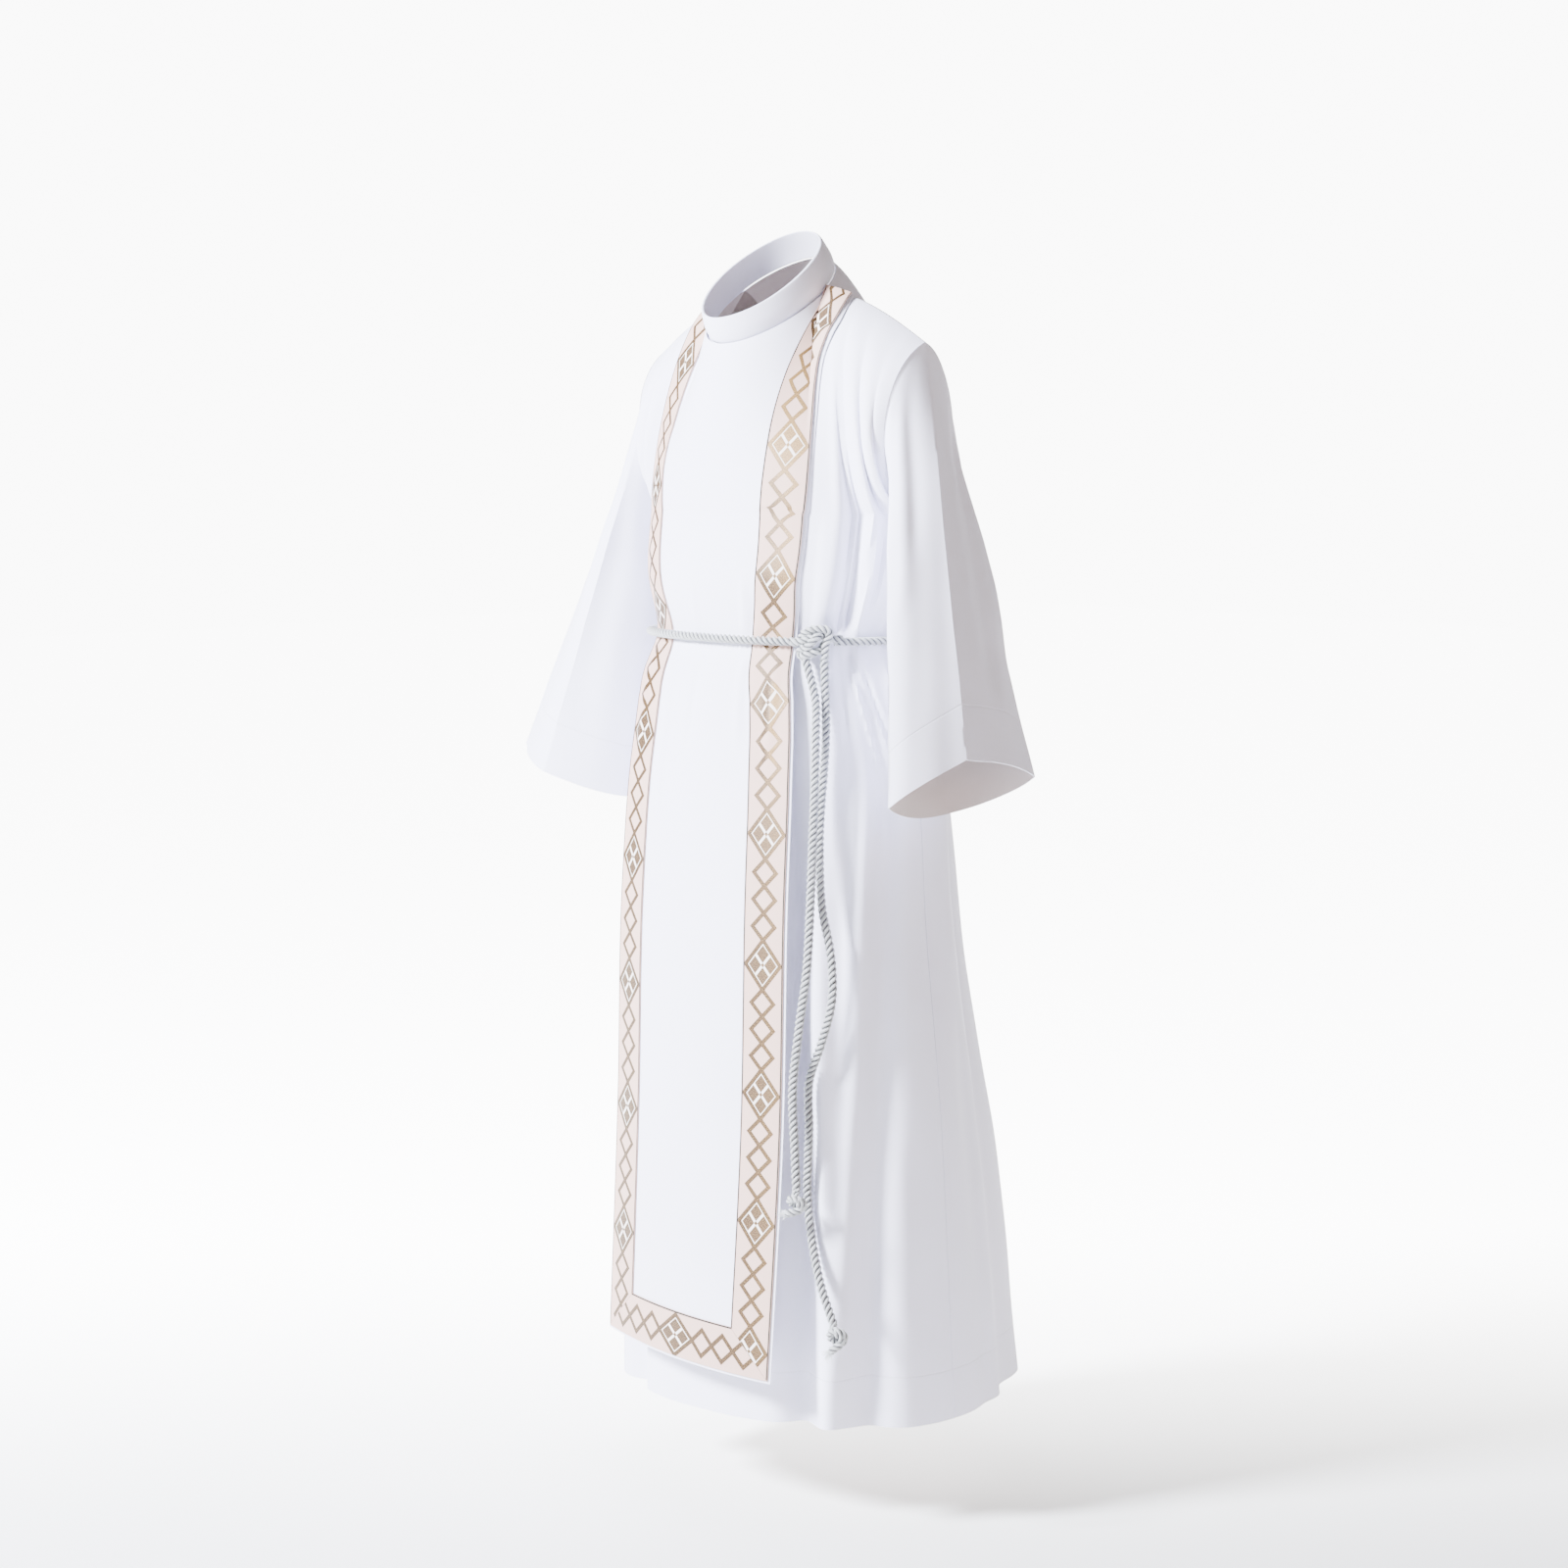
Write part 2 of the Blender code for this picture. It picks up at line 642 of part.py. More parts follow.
def lump(name, centre, size, rings, sides, ripple, out=(0.0, -1.0, 0.0)):
    """Knot drawn tight: round body with soft wraps."""
    out = np.array(out, float)
    across = np.array([-out[1], out[0], 0.0])
    up = np.array([0.0, 0.0, 1.0])
    centre = np.array(centre, float)
    verts = [centre - up * size[2]]
    for j in range(1, rings):
        high = -math.pi / 2 + math.pi * j / rings
        for s in range(sides):
            turn = 2 * math.pi * s / sides
            grow = (1.0 + ripple * math.sin(3 * turn + 2.2 * high)) * math.cos(high)
            verts.append(centre + across * size[0] * grow * math.cos(turn)
                         + out * size[1] * grow * math.sin(turn) + up * size[2] * math.sin(high))
    verts.append(centre + up * size[2])
    faces = []
    last = len(verts) - 1
    for s in range(sides):
        t = (s + 1) % sides
        faces.append((0, 1 + t, 1 + s))
        base = 1 + (rings - 2) * sides
        faces.append((last, base + s, base + t))
        for j in range(rings - 2):
            a = 1 + j * sides
            faces.append((a + s, a + t, a + sides + t, a + sides + s))
    mesh = bpy.data.meshes.new(name)
    mesh.from_pydata([tuple(v) for v in verts], [], faces)
    return add_object(name, mesh)


def make_belt():
    tube("cincture_waist", belt_path(54), CORD_RADIUS, 6)
    tails = (
        ("tail_left", TAIL_LEFT_PATH, 26, "end_knot_left", END_LEFT_SIZE),
        ("tail_right", TAIL_RIGHT_PATH, 32, "end_knot_right", END_RIGHT_SIZE),
    )
    for name, points, count, end_name, end_size in tails:
        path = bend_path(points, count)
        tube(name, path, CORD_RADIUS * 0.95, 6)
        down = path[-1] - path[-2]
        down /= np.linalg.norm(down)
        centre = path[-1] + down * (end_size[2] + 0.0006)
        lump(end_name, centre, end_size, 6, 10, 0.05)
    centre, out = belt_place(KNOT_TURN, KNOT_OUT)
    lump("cincture_knot", centre, KNOT_SIZE, 7, 12, 0.05, out)


def clear_scene():
    for obj in list(bpy.data.objects):
        bpy.data.objects.remove(obj, do_unlink=True)


def build():
    clear_scene()
    make_body("front", False, 10, 8)
    make_body("back", True, 8, 8)
    make_sleeve("sleeve_left", 1.0, CUFF_LEFT, 24, 10)
    make_sleeve("sleeve_right", -1.0, CUFF_RIGHT, 24, 10)
    make_collar(24)
    make_panel_and_braid()
    make_belt()


build()
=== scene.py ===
"""Looks of the first communion robe: alb, braid-edged front panel and knotted rope belt, as worn."""
import functools
import math
import random

import bpy
import numpy as np
from bpy.props import FloatProperty, FloatVectorProperty, PointerProperty
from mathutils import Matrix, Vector


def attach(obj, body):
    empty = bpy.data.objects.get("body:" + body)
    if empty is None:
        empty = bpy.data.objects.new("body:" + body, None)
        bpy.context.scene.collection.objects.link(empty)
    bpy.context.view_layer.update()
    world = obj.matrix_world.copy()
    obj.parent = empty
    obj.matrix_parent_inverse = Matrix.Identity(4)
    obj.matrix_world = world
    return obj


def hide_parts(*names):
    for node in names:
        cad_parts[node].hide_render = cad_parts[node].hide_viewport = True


bl_info = {
    "name": "Communion robe",
    "version": (1, 0, 0),
    "blender": (4, 5, 0),
    "location": "3D View > Sidebar > Robe",
    "description": "Builds the robe's cloth, braid and rope belt on the packed frame",
    "category": "Object",
}

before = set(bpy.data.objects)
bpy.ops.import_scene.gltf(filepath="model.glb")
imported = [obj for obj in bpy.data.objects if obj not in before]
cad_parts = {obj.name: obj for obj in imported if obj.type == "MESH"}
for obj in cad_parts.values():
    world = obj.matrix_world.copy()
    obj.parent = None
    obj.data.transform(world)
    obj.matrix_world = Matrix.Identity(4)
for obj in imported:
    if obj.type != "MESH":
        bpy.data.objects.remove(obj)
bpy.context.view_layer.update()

# Main places and gaps, in metres; turns in degrees from the front towards the wearer's left.
ARMPIT_Z = -0.200
BELT_Z = -0.3215
HEM_Z = -1.086
HEM_SAG = 0.010
HEM_SAG_TURN = -40.0
PANEL_TILT = 0.005
NECK_SHARE = 0.40
NECK_TURN = 106.0
NECK_RADIUS = 0.0620
NECK_BASE = 0.006
NECK_TILT = 0.70
SHOULDER_TIP = (0.183, 0.028, -0.037)
SEAM_GAP = 0.0006
PANEL_LIFT = 0.0026
BRAID_LIFT = 0.0040
BRAID_WIDE = 0.0470
PANEL_EDGE = 0.0026
CORD_RADIUS = 0.0045
PINCH_SHARE = 0.92
PINCH_TALL = 0.016
FOLD_REACH = 3.2
YOKE_TALL = 0.16
SAG_START = -0.80
TILT_START = -0.70
HANG_GAP = 0.002
HANG_BLEND = 0.070
BELT_POINTS = 90
BELT_LIFT = 0.0062
BELT_OVER_PANEL = 0.0052
BELT_PANEL_HALF = 0.110
BELT_RAMP = 0.014

# Body sections from armpit to hem, sizes in metres, as in the solids:
# height, middle depth, half width, depth in front, depth behind, squareness.
SECTIONS = (
    (-0.2, 0.04, 0.168, 0.11, 0.135, 2.4),
    (-0.26, 0.034, 0.164, 0.112, 0.124, 2.4),
    (-0.322, 0.025, 0.149, 0.099, 0.105, 2.35),
    (-0.365, 0.023, 0.162, 0.106, 0.109, 2.35),
    (-0.44, 0.024, 0.177, 0.113, 0.114, 2.35),
    (-0.62, 0.028, 0.189, 0.123, 0.127, 2.35),
    (-0.85, 0.039, 0.197, 0.135, 0.174, 2.3),
    (-1.086, 0.051, 0.201, 0.147, 0.198, 2.3),
)

# Folds: height at top and foot, turn at top and foot, width, depth and fade.
# A turn is in degrees from the front centre towards the wearer's left.
FOLDS = (
    (-0.15, -0.325, 55.0, 62.0, 5.0, -0.008, 0.06),
    (-0.12, -0.33, 70.0, 70.0, 5.0, 0.006, 0.08),
    (-0.15, -0.325, -58.0, -62.0, 6.0, -0.006, 0.06),
    (-0.325, -0.48, 66.0, 74.0, 4.5, -0.006, 0.06),
    (-0.325, -0.56, -66.0, -72.0, 6.0, -0.007, 0.09),
    (-0.42, -1.2, 33.0, 33.0, 5.5, -0.017, 0.25),
    (-0.46, -1.2, 44.0, 43.0, 5.0, 0.009, 0.25),
    (-0.4, -1.0, 66.0, 48.0, 5.0, 0.01, 0.12),
    (-0.4, -1.05, 77.0, 58.0, 6.0, -0.008, 0.14),
    (-0.56, -1.2, 92.0, 84.0, 14.0, 0.007, 0.25),
    (-0.42, -1.2, -36.0, -36.0, 6.0, -0.014, 0.25),
    (-0.45, -1.2, -60.0, -52.0, 7.0, 0.01, 0.25),
    (-0.42, -1.2, -82.0, -74.0, 8.0, -0.01, 0.25),
    (-0.36, -1.2, 122.0, 126.0, 9.0, -0.012, 0.22),
    (-0.34, -1.2, 146.0, 148.0, 9.0, 0.01, 0.22),
    (-0.34, -1.2, 166.0, 168.0, 8.0, -0.013, 0.22),
    (-0.34, -1.2, 186.0, 188.0, 9.0, 0.01, 0.22),
    (-0.35, -1.2, 208.0, 212.0, 9.0, -0.012, 0.22),
    (-0.38, -1.2, 234.0, 238.0, 10.0, 0.009, 0.22),
    (-0.15, -0.33, 125.0, 130.0, 7.0, -0.007, 0.08),
    (-0.13, -0.33, 158.0, 160.0, 8.0, 0.006, 0.09),
    (-0.13, -0.33, 180.0, 180.0, 7.0, -0.007, 0.09),
    (-0.13, -0.33, 202.0, 200.0, 8.0, 0.006, 0.09),
    (-0.15, -0.33, 235.0, 230.0, 7.0, -0.007, 0.08),
)

# Small creases laid on the cloth, same columns as the folds.
CREASES = (
    (-0.15, -0.314, 53.5, 56.5, 1.2, -0.0048, 0.05),
    (-0.13, -0.316, 57.0, 59.5, 1.3, 0.0046, 0.05),
    (-0.18, -0.316, 44.0, 46.0, 2.2, 0.0022, 0.05),
    (-0.19, -0.318, 67.0, 64.5, 1.3, -0.0036, 0.04),
    (-0.21, -0.318, 76.0, 72.0, 1.6, 0.0034, 0.04),
    (-0.24, -0.318, 84.0, 83.0, 2.0, -0.0022, 0.04),
    (-0.326, -0.4, 56.0, 58.0, 1.6, -0.0022, 0.03),
    (-0.326, -0.43, 61.0, 71.0, 1.3, 0.0038, 0.04),
    (-0.326, -0.41, 66.0, 78.0, 1.2, -0.0036, 0.03),
    (-0.326, -0.41, 80.0, 84.0, 1.8, 0.0022, 0.03),
    (-0.326, -0.4, 90.0, 92.0, 2.0, -0.002, 0.03),
    (-0.326, -0.42, 100.0, 104.0, 2.2, 0.0022, 0.04),
    (-0.25, -0.318, 98.0, 100.0, 2.2, 0.0022, 0.04),
    (-0.25, -0.318, 112.0, 112.0, 2.2, -0.0022, 0.04),
    (-0.326, -0.41, 114.0, 112.0, 2.2, -0.0022, 0.04),
    (-0.326, -0.42, 136.0, 136.0, 2.2, 0.0022, 0.04),
    (-0.326, -0.4, 152.0, 152.0, 2.0, -0.0022, 0.04),
    (-0.326, -0.43, 176.0, 176.0, 2.2, 0.0024, 0.04),
    (-0.326, -0.41, 198.0, 198.0, 2.0, -0.0022, 0.04),
    (-0.326, -0.42, 222.0, 222.0, 2.2, 0.0022, 0.04),
    (-0.24, -0.318, 145.0, 146.0, 2.2, 0.0022, 0.04),
    (-0.25, -0.318, 170.0, 170.0, 2.2, 0.0022, 0.04),
    (-0.25, -0.318, 190.0, 192.0, 2.2, -0.0022, 0.04),
    (-0.24, -0.318, 215.0, 214.0, 2.2, 0.0022, 0.04),
    (-0.326, -0.41, -52.0, -55.0, 1.8, 0.0022, 0.03),
    (-0.326, -0.4, -60.0, -64.0, 1.8, -0.0022, 0.03),
    (-0.326, -0.42, -76.0, -78.0, 2.0, 0.0024, 0.04),
    (-0.326, -0.4, -88.0, -90.0, 2.0, -0.0022, 0.04),
    (-0.23, -0.318, -50.0, -52.0, 2.0, 0.0022, 0.04),
    (-0.23, -0.318, -70.0, -68.0, 2.0, 0.0022, 0.04),
    (-0.24, -0.318, -84.0, -82.0, 2.0, -0.0022, 0.04),
    (-0.02, -0.3, 50.0, 49.0, 3.0, 0.0035, 0.08),
    (-0.03, -0.3, 57.0, 60.0, 2.6, -0.006, 0.08),
    (-0.02, -0.3, 64.0, 66.0, 3.2, 0.007, 0.08),
    (-0.03, -0.3, 70.0, 72.0, 2.6, -0.0075, 0.08),
    (-0.03, -0.3, 77.0, 81.0, 3.4, 0.007, 0.1),
    (-0.06, -0.3, 83.0, 87.0, 2.4, -0.006, 0.1),
    (-0.03, -0.3, -60.0, -62.0, 3.0, -0.005, 0.08),
    (-0.03, -0.3, -67.0, -68.0, 3.4, 0.006, 0.08),
    (-0.06, -0.3, -74.0, -76.0, 3.0, -0.006, 0.1),
    (-0.03, -0.3, -80.0, -83.0, 3.6, 0.006, 0.1),
    (-0.64, -1.2, 54.0, 62.0, 5.0, -0.004, 0.2),
    (-0.7, -1.2, 70.0, 74.0, 7.0, 0.0035, 0.2),
    (-0.62, -1.2, 104.0, 106.0, 6.0, -0.005, 0.2),
    (-0.7, -1.2, -44.0, -44.0, 5.0, 0.004, 0.2),
)

# Creases of the panel near the belt, same columns, with metres across in place of turns.
PANEL_CREASES = (
    (-0.25, -0.318, 0.044, 0.04, 0.004, 0.0016, 0.03),
    (-0.27, -0.318, 0.056, 0.05, 0.0035, -0.0014, 0.02),
    (-0.26, -0.318, -0.03, -0.026, 0.005, 0.0013, 0.03),
    (-0.326, -0.4, 0.046, 0.052, 0.0045, 0.0015, 0.03),
    (-0.326, -0.46, -0.05, -0.056, 0.007, 0.0018, 0.06),
    (-0.326, -0.4, -0.008, -0.012, 0.006, -0.0014, 0.04),
    (-0.326, -0.42, 0.086, 0.09, 0.005, 0.0015, 0.04),
    (-0.326, -0.42, -0.092, -0.096, 0.005, 0.0015, 0.04),
)

# Panel hung free under the belt: height, half width, depth of its middle and of its edges.
PANEL_HANG = (
    (-0.38, 0.112, -0.093, -0.0735),
    (-0.46, 0.118, -0.101, -0.082),
    (-0.57, 0.121, -0.1085, -0.09),
    (-0.79, 0.122, -0.115, -0.0965),
    (-1.033, 0.119, -0.128, -0.111),
)
# Braid edges: height, left outer and inner edge, right outer and inner edge.
# They are metres across up to the armpit, and then shares of the cloth by its rise.
LOW_EDGES = (
    (-0.2, 0.1075, 0.0575, 0.13, 0.092),
    (-0.24, 0.1073, 0.06, 0.129, 0.088),
    (-0.28, 0.1025, 0.057, 0.124, 0.081),
    (-0.3215, 0.097, 0.0515, 0.112, 0.066),
    (-0.38, 0.1105, 0.064, 0.112, 0.065),
    (-0.46, 0.118, 0.071, 0.118, 0.071),
    (-0.57, 0.121, 0.074, 0.121, 0.074),
    (-0.79, 0.122, 0.075, 0.122, 0.075),
    (-1.033, 0.119, 0.072, 0.119, 0.072),
)
YOKE_EDGES = (
    (0.0, 0.4, 0.177, 0.526, 0.323),
    (0.1, 0.412, 0.182, 0.54, 0.34),
    (0.2, 0.422, 0.19, 0.555, 0.368),
    (0.3, 0.434, 0.198, 0.572, 0.395),
    (0.4, 0.448, 0.206, 0.587, 0.415),
    (0.5, 0.463, 0.217, 0.6, 0.43),
    (0.6, 0.488, 0.232, 0.611, 0.44),
    (0.7, 0.54, 0.253, 0.621, 0.448),
    (0.8, 0.582, 0.286, 0.631, 0.456),
    (0.9, 0.588, 0.338, 0.641, 0.466),
    (1.0, 0.568, 0.4, 0.65, 0.48),
)
PANEL_LOW = -1.033

# Sleeve openings at the cuff: crest, front, inner and back corners.
CUFF_LEFT = (
    (0.318, -0.052, -0.42),
    (0.29, -0.126, -0.462),
    (0.228, 0.008, -0.484),
    (0.292, 0.074, -0.446),
)
CUFF_RIGHT = (
    (-0.343, -0.038, -0.452),
    (-0.266, -0.078, -0.474),
    (-0.2, -0.01, -0.5),
    (-0.272, 0.094, -0.466),
)
CORNER_ROUND = (0.12, 0.34, 0.80, 0.62)
SLEEVE_BLEND = 0.36

# Sleeve creases, same columns: heights fall from 0 at the armhole to -1 at the cuff, and
# turns and widths are shares of the way round, from the crest by the front.
SLEEVE_CREASES = (
    (-0.04, -0.45, 0.15, 0.165, 0.036, 0.002, 0.15),
    (-0.02, -0.35, 0.09, 0.105, 0.032, -0.0015, 0.15),
    (-0.15, -0.7, 0.3, 0.29, 0.05, -0.002, 0.15),
    (-0.06, -0.7, 0.84, 0.87, 0.03, -0.0035, 0.15),
    (-0.1, -0.45, 0.76, 0.74, 0.04, 0.003, 0.15),
    (-0.55, -1.1, 0.76, 0.78, 0.08, -0.005, 0.15),
    (-0.3, -1.1, 0.93, 0.925, 0.025, 0.0018, 0.15),
)

# Collar's form, outside then inside: height up the band and growth outwards.
COLLAR_PROFILE = (
    (0.0, -0.001), (0.0008, 0.0001), (0.006, 0.0006), (0.012, 0.0006), (0.018, -0.0004),
    (0.024, -0.0017), (0.0272, -0.0026), (0.0284, -0.0032), (0.029, -0.0042), (0.0288, -0.0052),
    (0.0278, -0.0058), (0.024, -0.005), (0.016, -0.0036), (0.008, -0.0028), (0.0002, -0.0028),
)

# Belt tails: path points from the knot down.
TAIL_LEFT_PATH = (
    (0.116, -0.0645, -0.3374),
    (0.1325, -0.0665, -0.378),
    (0.141, -0.0745, -0.408),
    (0.15, -0.087, -0.515),
    (0.151, -0.091, -0.573),
    (0.1505, -0.095, -0.631),
    (0.1423, -0.098, -0.692),
    (0.1373, -0.101, -0.75),
    (0.14, -0.101, -0.801),
    (0.1418, -0.1, -0.845),
)
TAIL_RIGHT_PATH = (
    (0.1296, -0.0523, -0.3372),
    (0.14, -0.06, -0.402),
    (0.146, -0.074, -0.515),
    (0.1525, -0.077, -0.572),
    (0.1641, -0.076, -0.62),
    (0.1676, -0.078, -0.658),
    (0.1557, -0.081, -0.703),
    (0.1415, -0.083, -0.741),
    (0.1412, -0.083, -0.786),
    (0.1355, -0.0785, -0.868),
    (0.1455, -0.08, -0.91),
    (0.1574, -0.082, -0.94),
    (0.1764, -0.084, -0.973),
)
KNOT_TURN = 47.5
KNOT_OUT = 0.0128
KNOT_GAP = 7.9
END_DROP = 0.0131

# Knot wraps in millimetres: across to the wearer's left, up, and out from the cloth.
KNOT_WRAPS = (
    ((-24, -1, -4), (-16, 0, 0), (-8, 3, 3), (0, 5, 3), (6, 6, 0)),
    ((-15, 3, -4), (-13, 7, -1), (-7, 11, 3), (1, 13, 4.5), (8, 13, 5), (13.5, 10, 4), (13, 4, 4),
     (10.5, -2, 5), (9.5, -9, 4), (8.1, -17, 1.1)),
    ((25, 3, -5), (18, 3, -3), (11, 4, -1), (5, 7, 3), (2, 5, 7), (-3, 0, 8), (-8, -5, 6), (-14, -7, 2),
     (-16, -10, 0), (-13, -13, 3), (-6, -11, 6), (1, -9, 5), (6, -6, 1), (8, 0, -3)),
    ((-2, 6, -2), (-5, -1, 1), (-8, -8, 0), (-9.5, -13, 1), (-10, -17, 3)),
)

CAMERA_TURN = 47.0
CAMERA_FAR = 3.4
CAMERA_Z = -0.10
CAMERA_SIDE = 0.01155
CAMERA_PITCH = 6.24
CAMERA_LENS = 78.75

# Look of the rope: three strands, their lay and the size of the knot's cord.
STRAND_OUT = 0.50
STRAND_FAT = 0.50
STRAND_REACH = 2.05
STRAND_STEPS = 10
ROPE_PITCH = 0.018
ROPE_STEP = 0.0011
KNOT_CORD = 0.0043
END_CORD = 0.0042
TUFT_COUNT = 40
TUFT_LONG = 0.009
TUFT_RADIUS = 0.003
FIBRE_RADIUS = 0.00034
END_WRAP = (
    (0, 0, 13), (2, 3, 9), (5, 4, 4), (5, 0, -2), (0, -4, -5), (-5, -1, -2),
    (-5, 4, 3), (0, 6, 6), (6, 4, 5), (7, -1, 1), (3, -4, -4), (-2, 1, -8), (-6, 4, -9), (-10, 5, -10),
)

# Look of the braid, sizes in metres.
BRAID_PATTERN_WIDE = 0.0465
MOTIF_REPEAT = 0.1260
BIG_WIDE = 0.0200
BIG_TALL = 0.0240
SMALL_WIDE = 0.01275
SMALL_TALL = 0.01300
MOTIF_LINE = 0.0042
QUARTER_OUT = 0.80
QUARTER_IN = 0.09
LIGHT_OUT = 0.92
BORDER_PLACE = 0.0223
BORDER_WIDE = 0.0016
BRAID_RIB = 0.0009
PHASE_LEFT = 0.150
PHASE_RIGHT = 0.110
MITRE_GAP = 0.0002
MITRE_REACH = 0.12

# Fineness of the cloth meshes and their thickness.
BODY_ROWS_LOW = 92
BODY_ROWS_BELT = 84
BODY_ROWS_YOKE = 64
BODY_COLUMNS_SIDE = 38
BODY_COLUMNS_NECK = 49
CLOTH_THIN = 0.0011
SLEEVE_ROUND = 144
SLEEVE_ROWS = 110
COLLAR_ROUND = 160
COLLAR_TALL = 0.029
COLLAR_LEAN = (0.0, -0.50, 0.86)
COLLAR_ROWS = 48
PANEL_ROWS_LOW = 110
PANEL_ROWS_BELT = 60
PANEL_ROWS_YOKE = 60
PANEL_COLUMNS = 81
PANEL_THIN = 0.0009
BRAID_COLUMNS = 15
BRAID_THIN = 0.0009
BOTTOM_COLUMNS = 91
COLLAR_THIN = 0.0003
CHEST_ROWS = 6
CHEST_Z = -0.23
KNOT_STEP = 0.001
HEM_ROW = 0.050
CUFF_ROW = 0.053

# Studio: camera film, white sweep behind the robe, floor that glows as painted light, and the two lamps.
FILM_WIDE = 36.0
SWEEP_EDGE = 0.925
SWEEP_SOFT = 0.025
FLOOR_Z = -1.19
FLOOR_HALF = 12.0
FLOOR_COLOUR = (0.92, 0.92, 0.92)
# Painted light: glow of the floor behind the robe.
GLOW_START = 0.40
GLOW_SOFT = 0.80
GLOW_SPREAD = 0.26
GLOW_ASIDE = 0.5
LAMP_AIM = (0.0, 0.0, -0.5)
KEY_PLACE = (-1.1, -3.1, 1.4)
KEY_SIZE = 0.9
KEY_COLOUR = (0.88, 0.92, 1.0)
FILL_PLACE = (3.2, 0.2, 0.3)
FILL_SIZE = 2.0
FILL_COLOUR = (1.0, 0.74, 0.56)

# Looks: shares of one colour in another, and heights of reliefs in metres.
CLOTH_SHADE = 0.955
RUMPLE_TALL = 0.0016
WEAVE_TALL = 0.00008
STITCH_TALL = 0.0006
STITCH_SHARE = 0.14
# Painted shade in the groove of the hem stitching.
STITCH_GROOVE_SHADE = (0.46, 0.46, 0.50, 1.0)
BRAID_TALL = 0.00035
PALE_THREAD = (0.93, 0.88, 0.83, 1.0)
# Painted glints and painted highlight on the metal thread: speck size and the share of each.
SPECK_SCALE = 1100.0
SPARKLE_SHARE = 0.55
CATCH_SHARE = 0.34
PLY_TALL = 0.0004
# Painted shade in the grooves between the rope's strands.
GROOVE_SHADE_COLOUR = (0.10, 0.10, 0.105, 1.0)

# Painted highlight: where the surface faces this direction, the metal thread is coloured as lit gold.
CATCH_TOWARD = (0.62, -0.78, 0.10)
CATCH_LOW = 0.880
CATCH_HIGH = 0.990


def smooth(where, knots, values):
    """Cubic through the table rows; knots may fall or rise."""
    x = np.asarray(knots, float)
    y = np.asarray(values, float)
    if x[0] > x[-1]:
        x = x[::-1]
        y = y[::-1]
    where = min(max(where, x[0]), x[-1])
    i = int(min(max(np.searchsorted(x, where) - 1, 0), len(x) - 2))
    slopes = np.gradient(y, x)
    h = x[i + 1] - x[i]
    s = (where - x[i]) / h
    a = (1 + 2 * s) * (1 - s) ** 2 * y[i] + s * (1 - s) ** 2 * h * slopes[i]
    b = s * s * (3 - 2 * s) * y[i + 1] + s * s * (s - 1) * h * slopes[i + 1]
    return float(a + b)


def ease(value):
    value = min(max(value, 0.0), 1.0)
    return value * value * (3 - 2 * value)


def between_rows(rows, where):
    """Values of a table at one place of its first column, smoothly between its rows."""
    knots, *columns = zip(*rows)
    return [smooth(where, knots, values) for values in columns]


@functools.lru_cache(maxsize=None)
def section(z):
    """Middle depth, half width, front, back and squareness at one height."""
    return between_rows(SECTIONS, z)


def row_height(rows, turn, z, lap=360.0):
    """Outward shift of the cloth from one table of folds; turns repeat after one lap."""
    total = 0.0
    for z_top, z_bottom, turn_top, turn_bottom, width, depth, fade in rows:
        if z > z_top or z < z_bottom - fade:
            continue
        along = (z_top - z) / (z_top - z_bottom)
        centre = turn_top + (turn_bottom - turn_top) * along
        gap = (turn - centre + lap / 2) % lap - lap / 2
        if abs(gap) > FOLD_REACH * width:
            continue
        strength = ease((z_top - z) / fade) * ease((z - (z_bottom - fade)) / fade)
        total += depth * strength * math.exp(-(gap / width) ** 2)
    return total


def fold_height(turn, z):
    """Outward shift of the cloth from every fold and crease that passes here."""
    pinch = 1.0 - PINCH_SHARE * math.exp(-((z - BELT_Z) / PINCH_TALL) ** 2)
    return row_height(FOLDS, turn, z) * pinch + row_height(CREASES, turn, z) * pinch


def soft_wave(a, b):
    """Small uneven swell of worn cloth, in metres."""
    first = math.sin(a * 0.11 + 1.3 * math.sin(b * 9.0)) * math.sin(b * 13.0 + a * 0.05)
    second = math.sin(a * 0.23 + b * 21.0) * math.sin(b * 31.0 - a * 0.09 + 1.0)
    return 0.0007 * first + 0.0004 * second


def ring_point(turn, z):
    """Cloth point at a turn in degrees round the body under the armpits."""
    mid_y, half_width, front, back, square = section(z)
    angle = math.radians(turn)
    power = 2.0 / square
    s = math.sin(angle)
    c = math.cos(angle)
    depth = front if c >= 0 else back
    x = half_width * math.copysign(abs(s) ** power, s)
    y = mid_y - depth * math.copysign(abs(c) ** power, c)
    out = np.array([s / half_width, -c / depth, 0.0])
    out /= np.linalg.norm(out)
    facing = max(0.0, math.cos(math.radians(turn - HEM_SAG_TURN)))
    sag = HEM_SAG * facing ** 2 * ease((z - SAG_START) / (HEM_Z - SAG_START))
    return np.array([x, y, z - sag]) + out * fold_height(turn, z)


def neck_point(turn):
    """Point of the neckline at a turn in degrees."""
    angle = math.radians(turn)
    y = -NECK_RADIUS * math.cos(angle)
    return np.array([NECK_RADIUS * math.sin(angle), y, NECK_BASE + NECK_TILT * y])


def neck_normal():
    return np.array([0.0, -NECK_TILT, 1.0]) / math.hypot(1.0, NECK_TILT)


def top_point(share, back):
    """Neckline or shoulder seam point for one cloth column."""
    side = math.copysign(1.0, share)
    size = abs(share)
    if size <= NECK_SHARE:
        if back:
            return neck_point(180.0 - side * (180.0 - NECK_TURN) * size / NECK_SHARE)
        return neck_point(side * NECK_TURN * size / NECK_SHARE)
    run = (size - NECK_SHARE) / (1.0 - NECK_SHARE)
    start = neck_point(side * NECK_TURN)
    end = np.array([side * SHOULDER_TIP[0], SHOULDER_TIP[1], SHOULDER_TIP[2]])
    point = start + (end - start) * run
    point[2] += 0.006 * math.sin(math.pi * run)
    return point


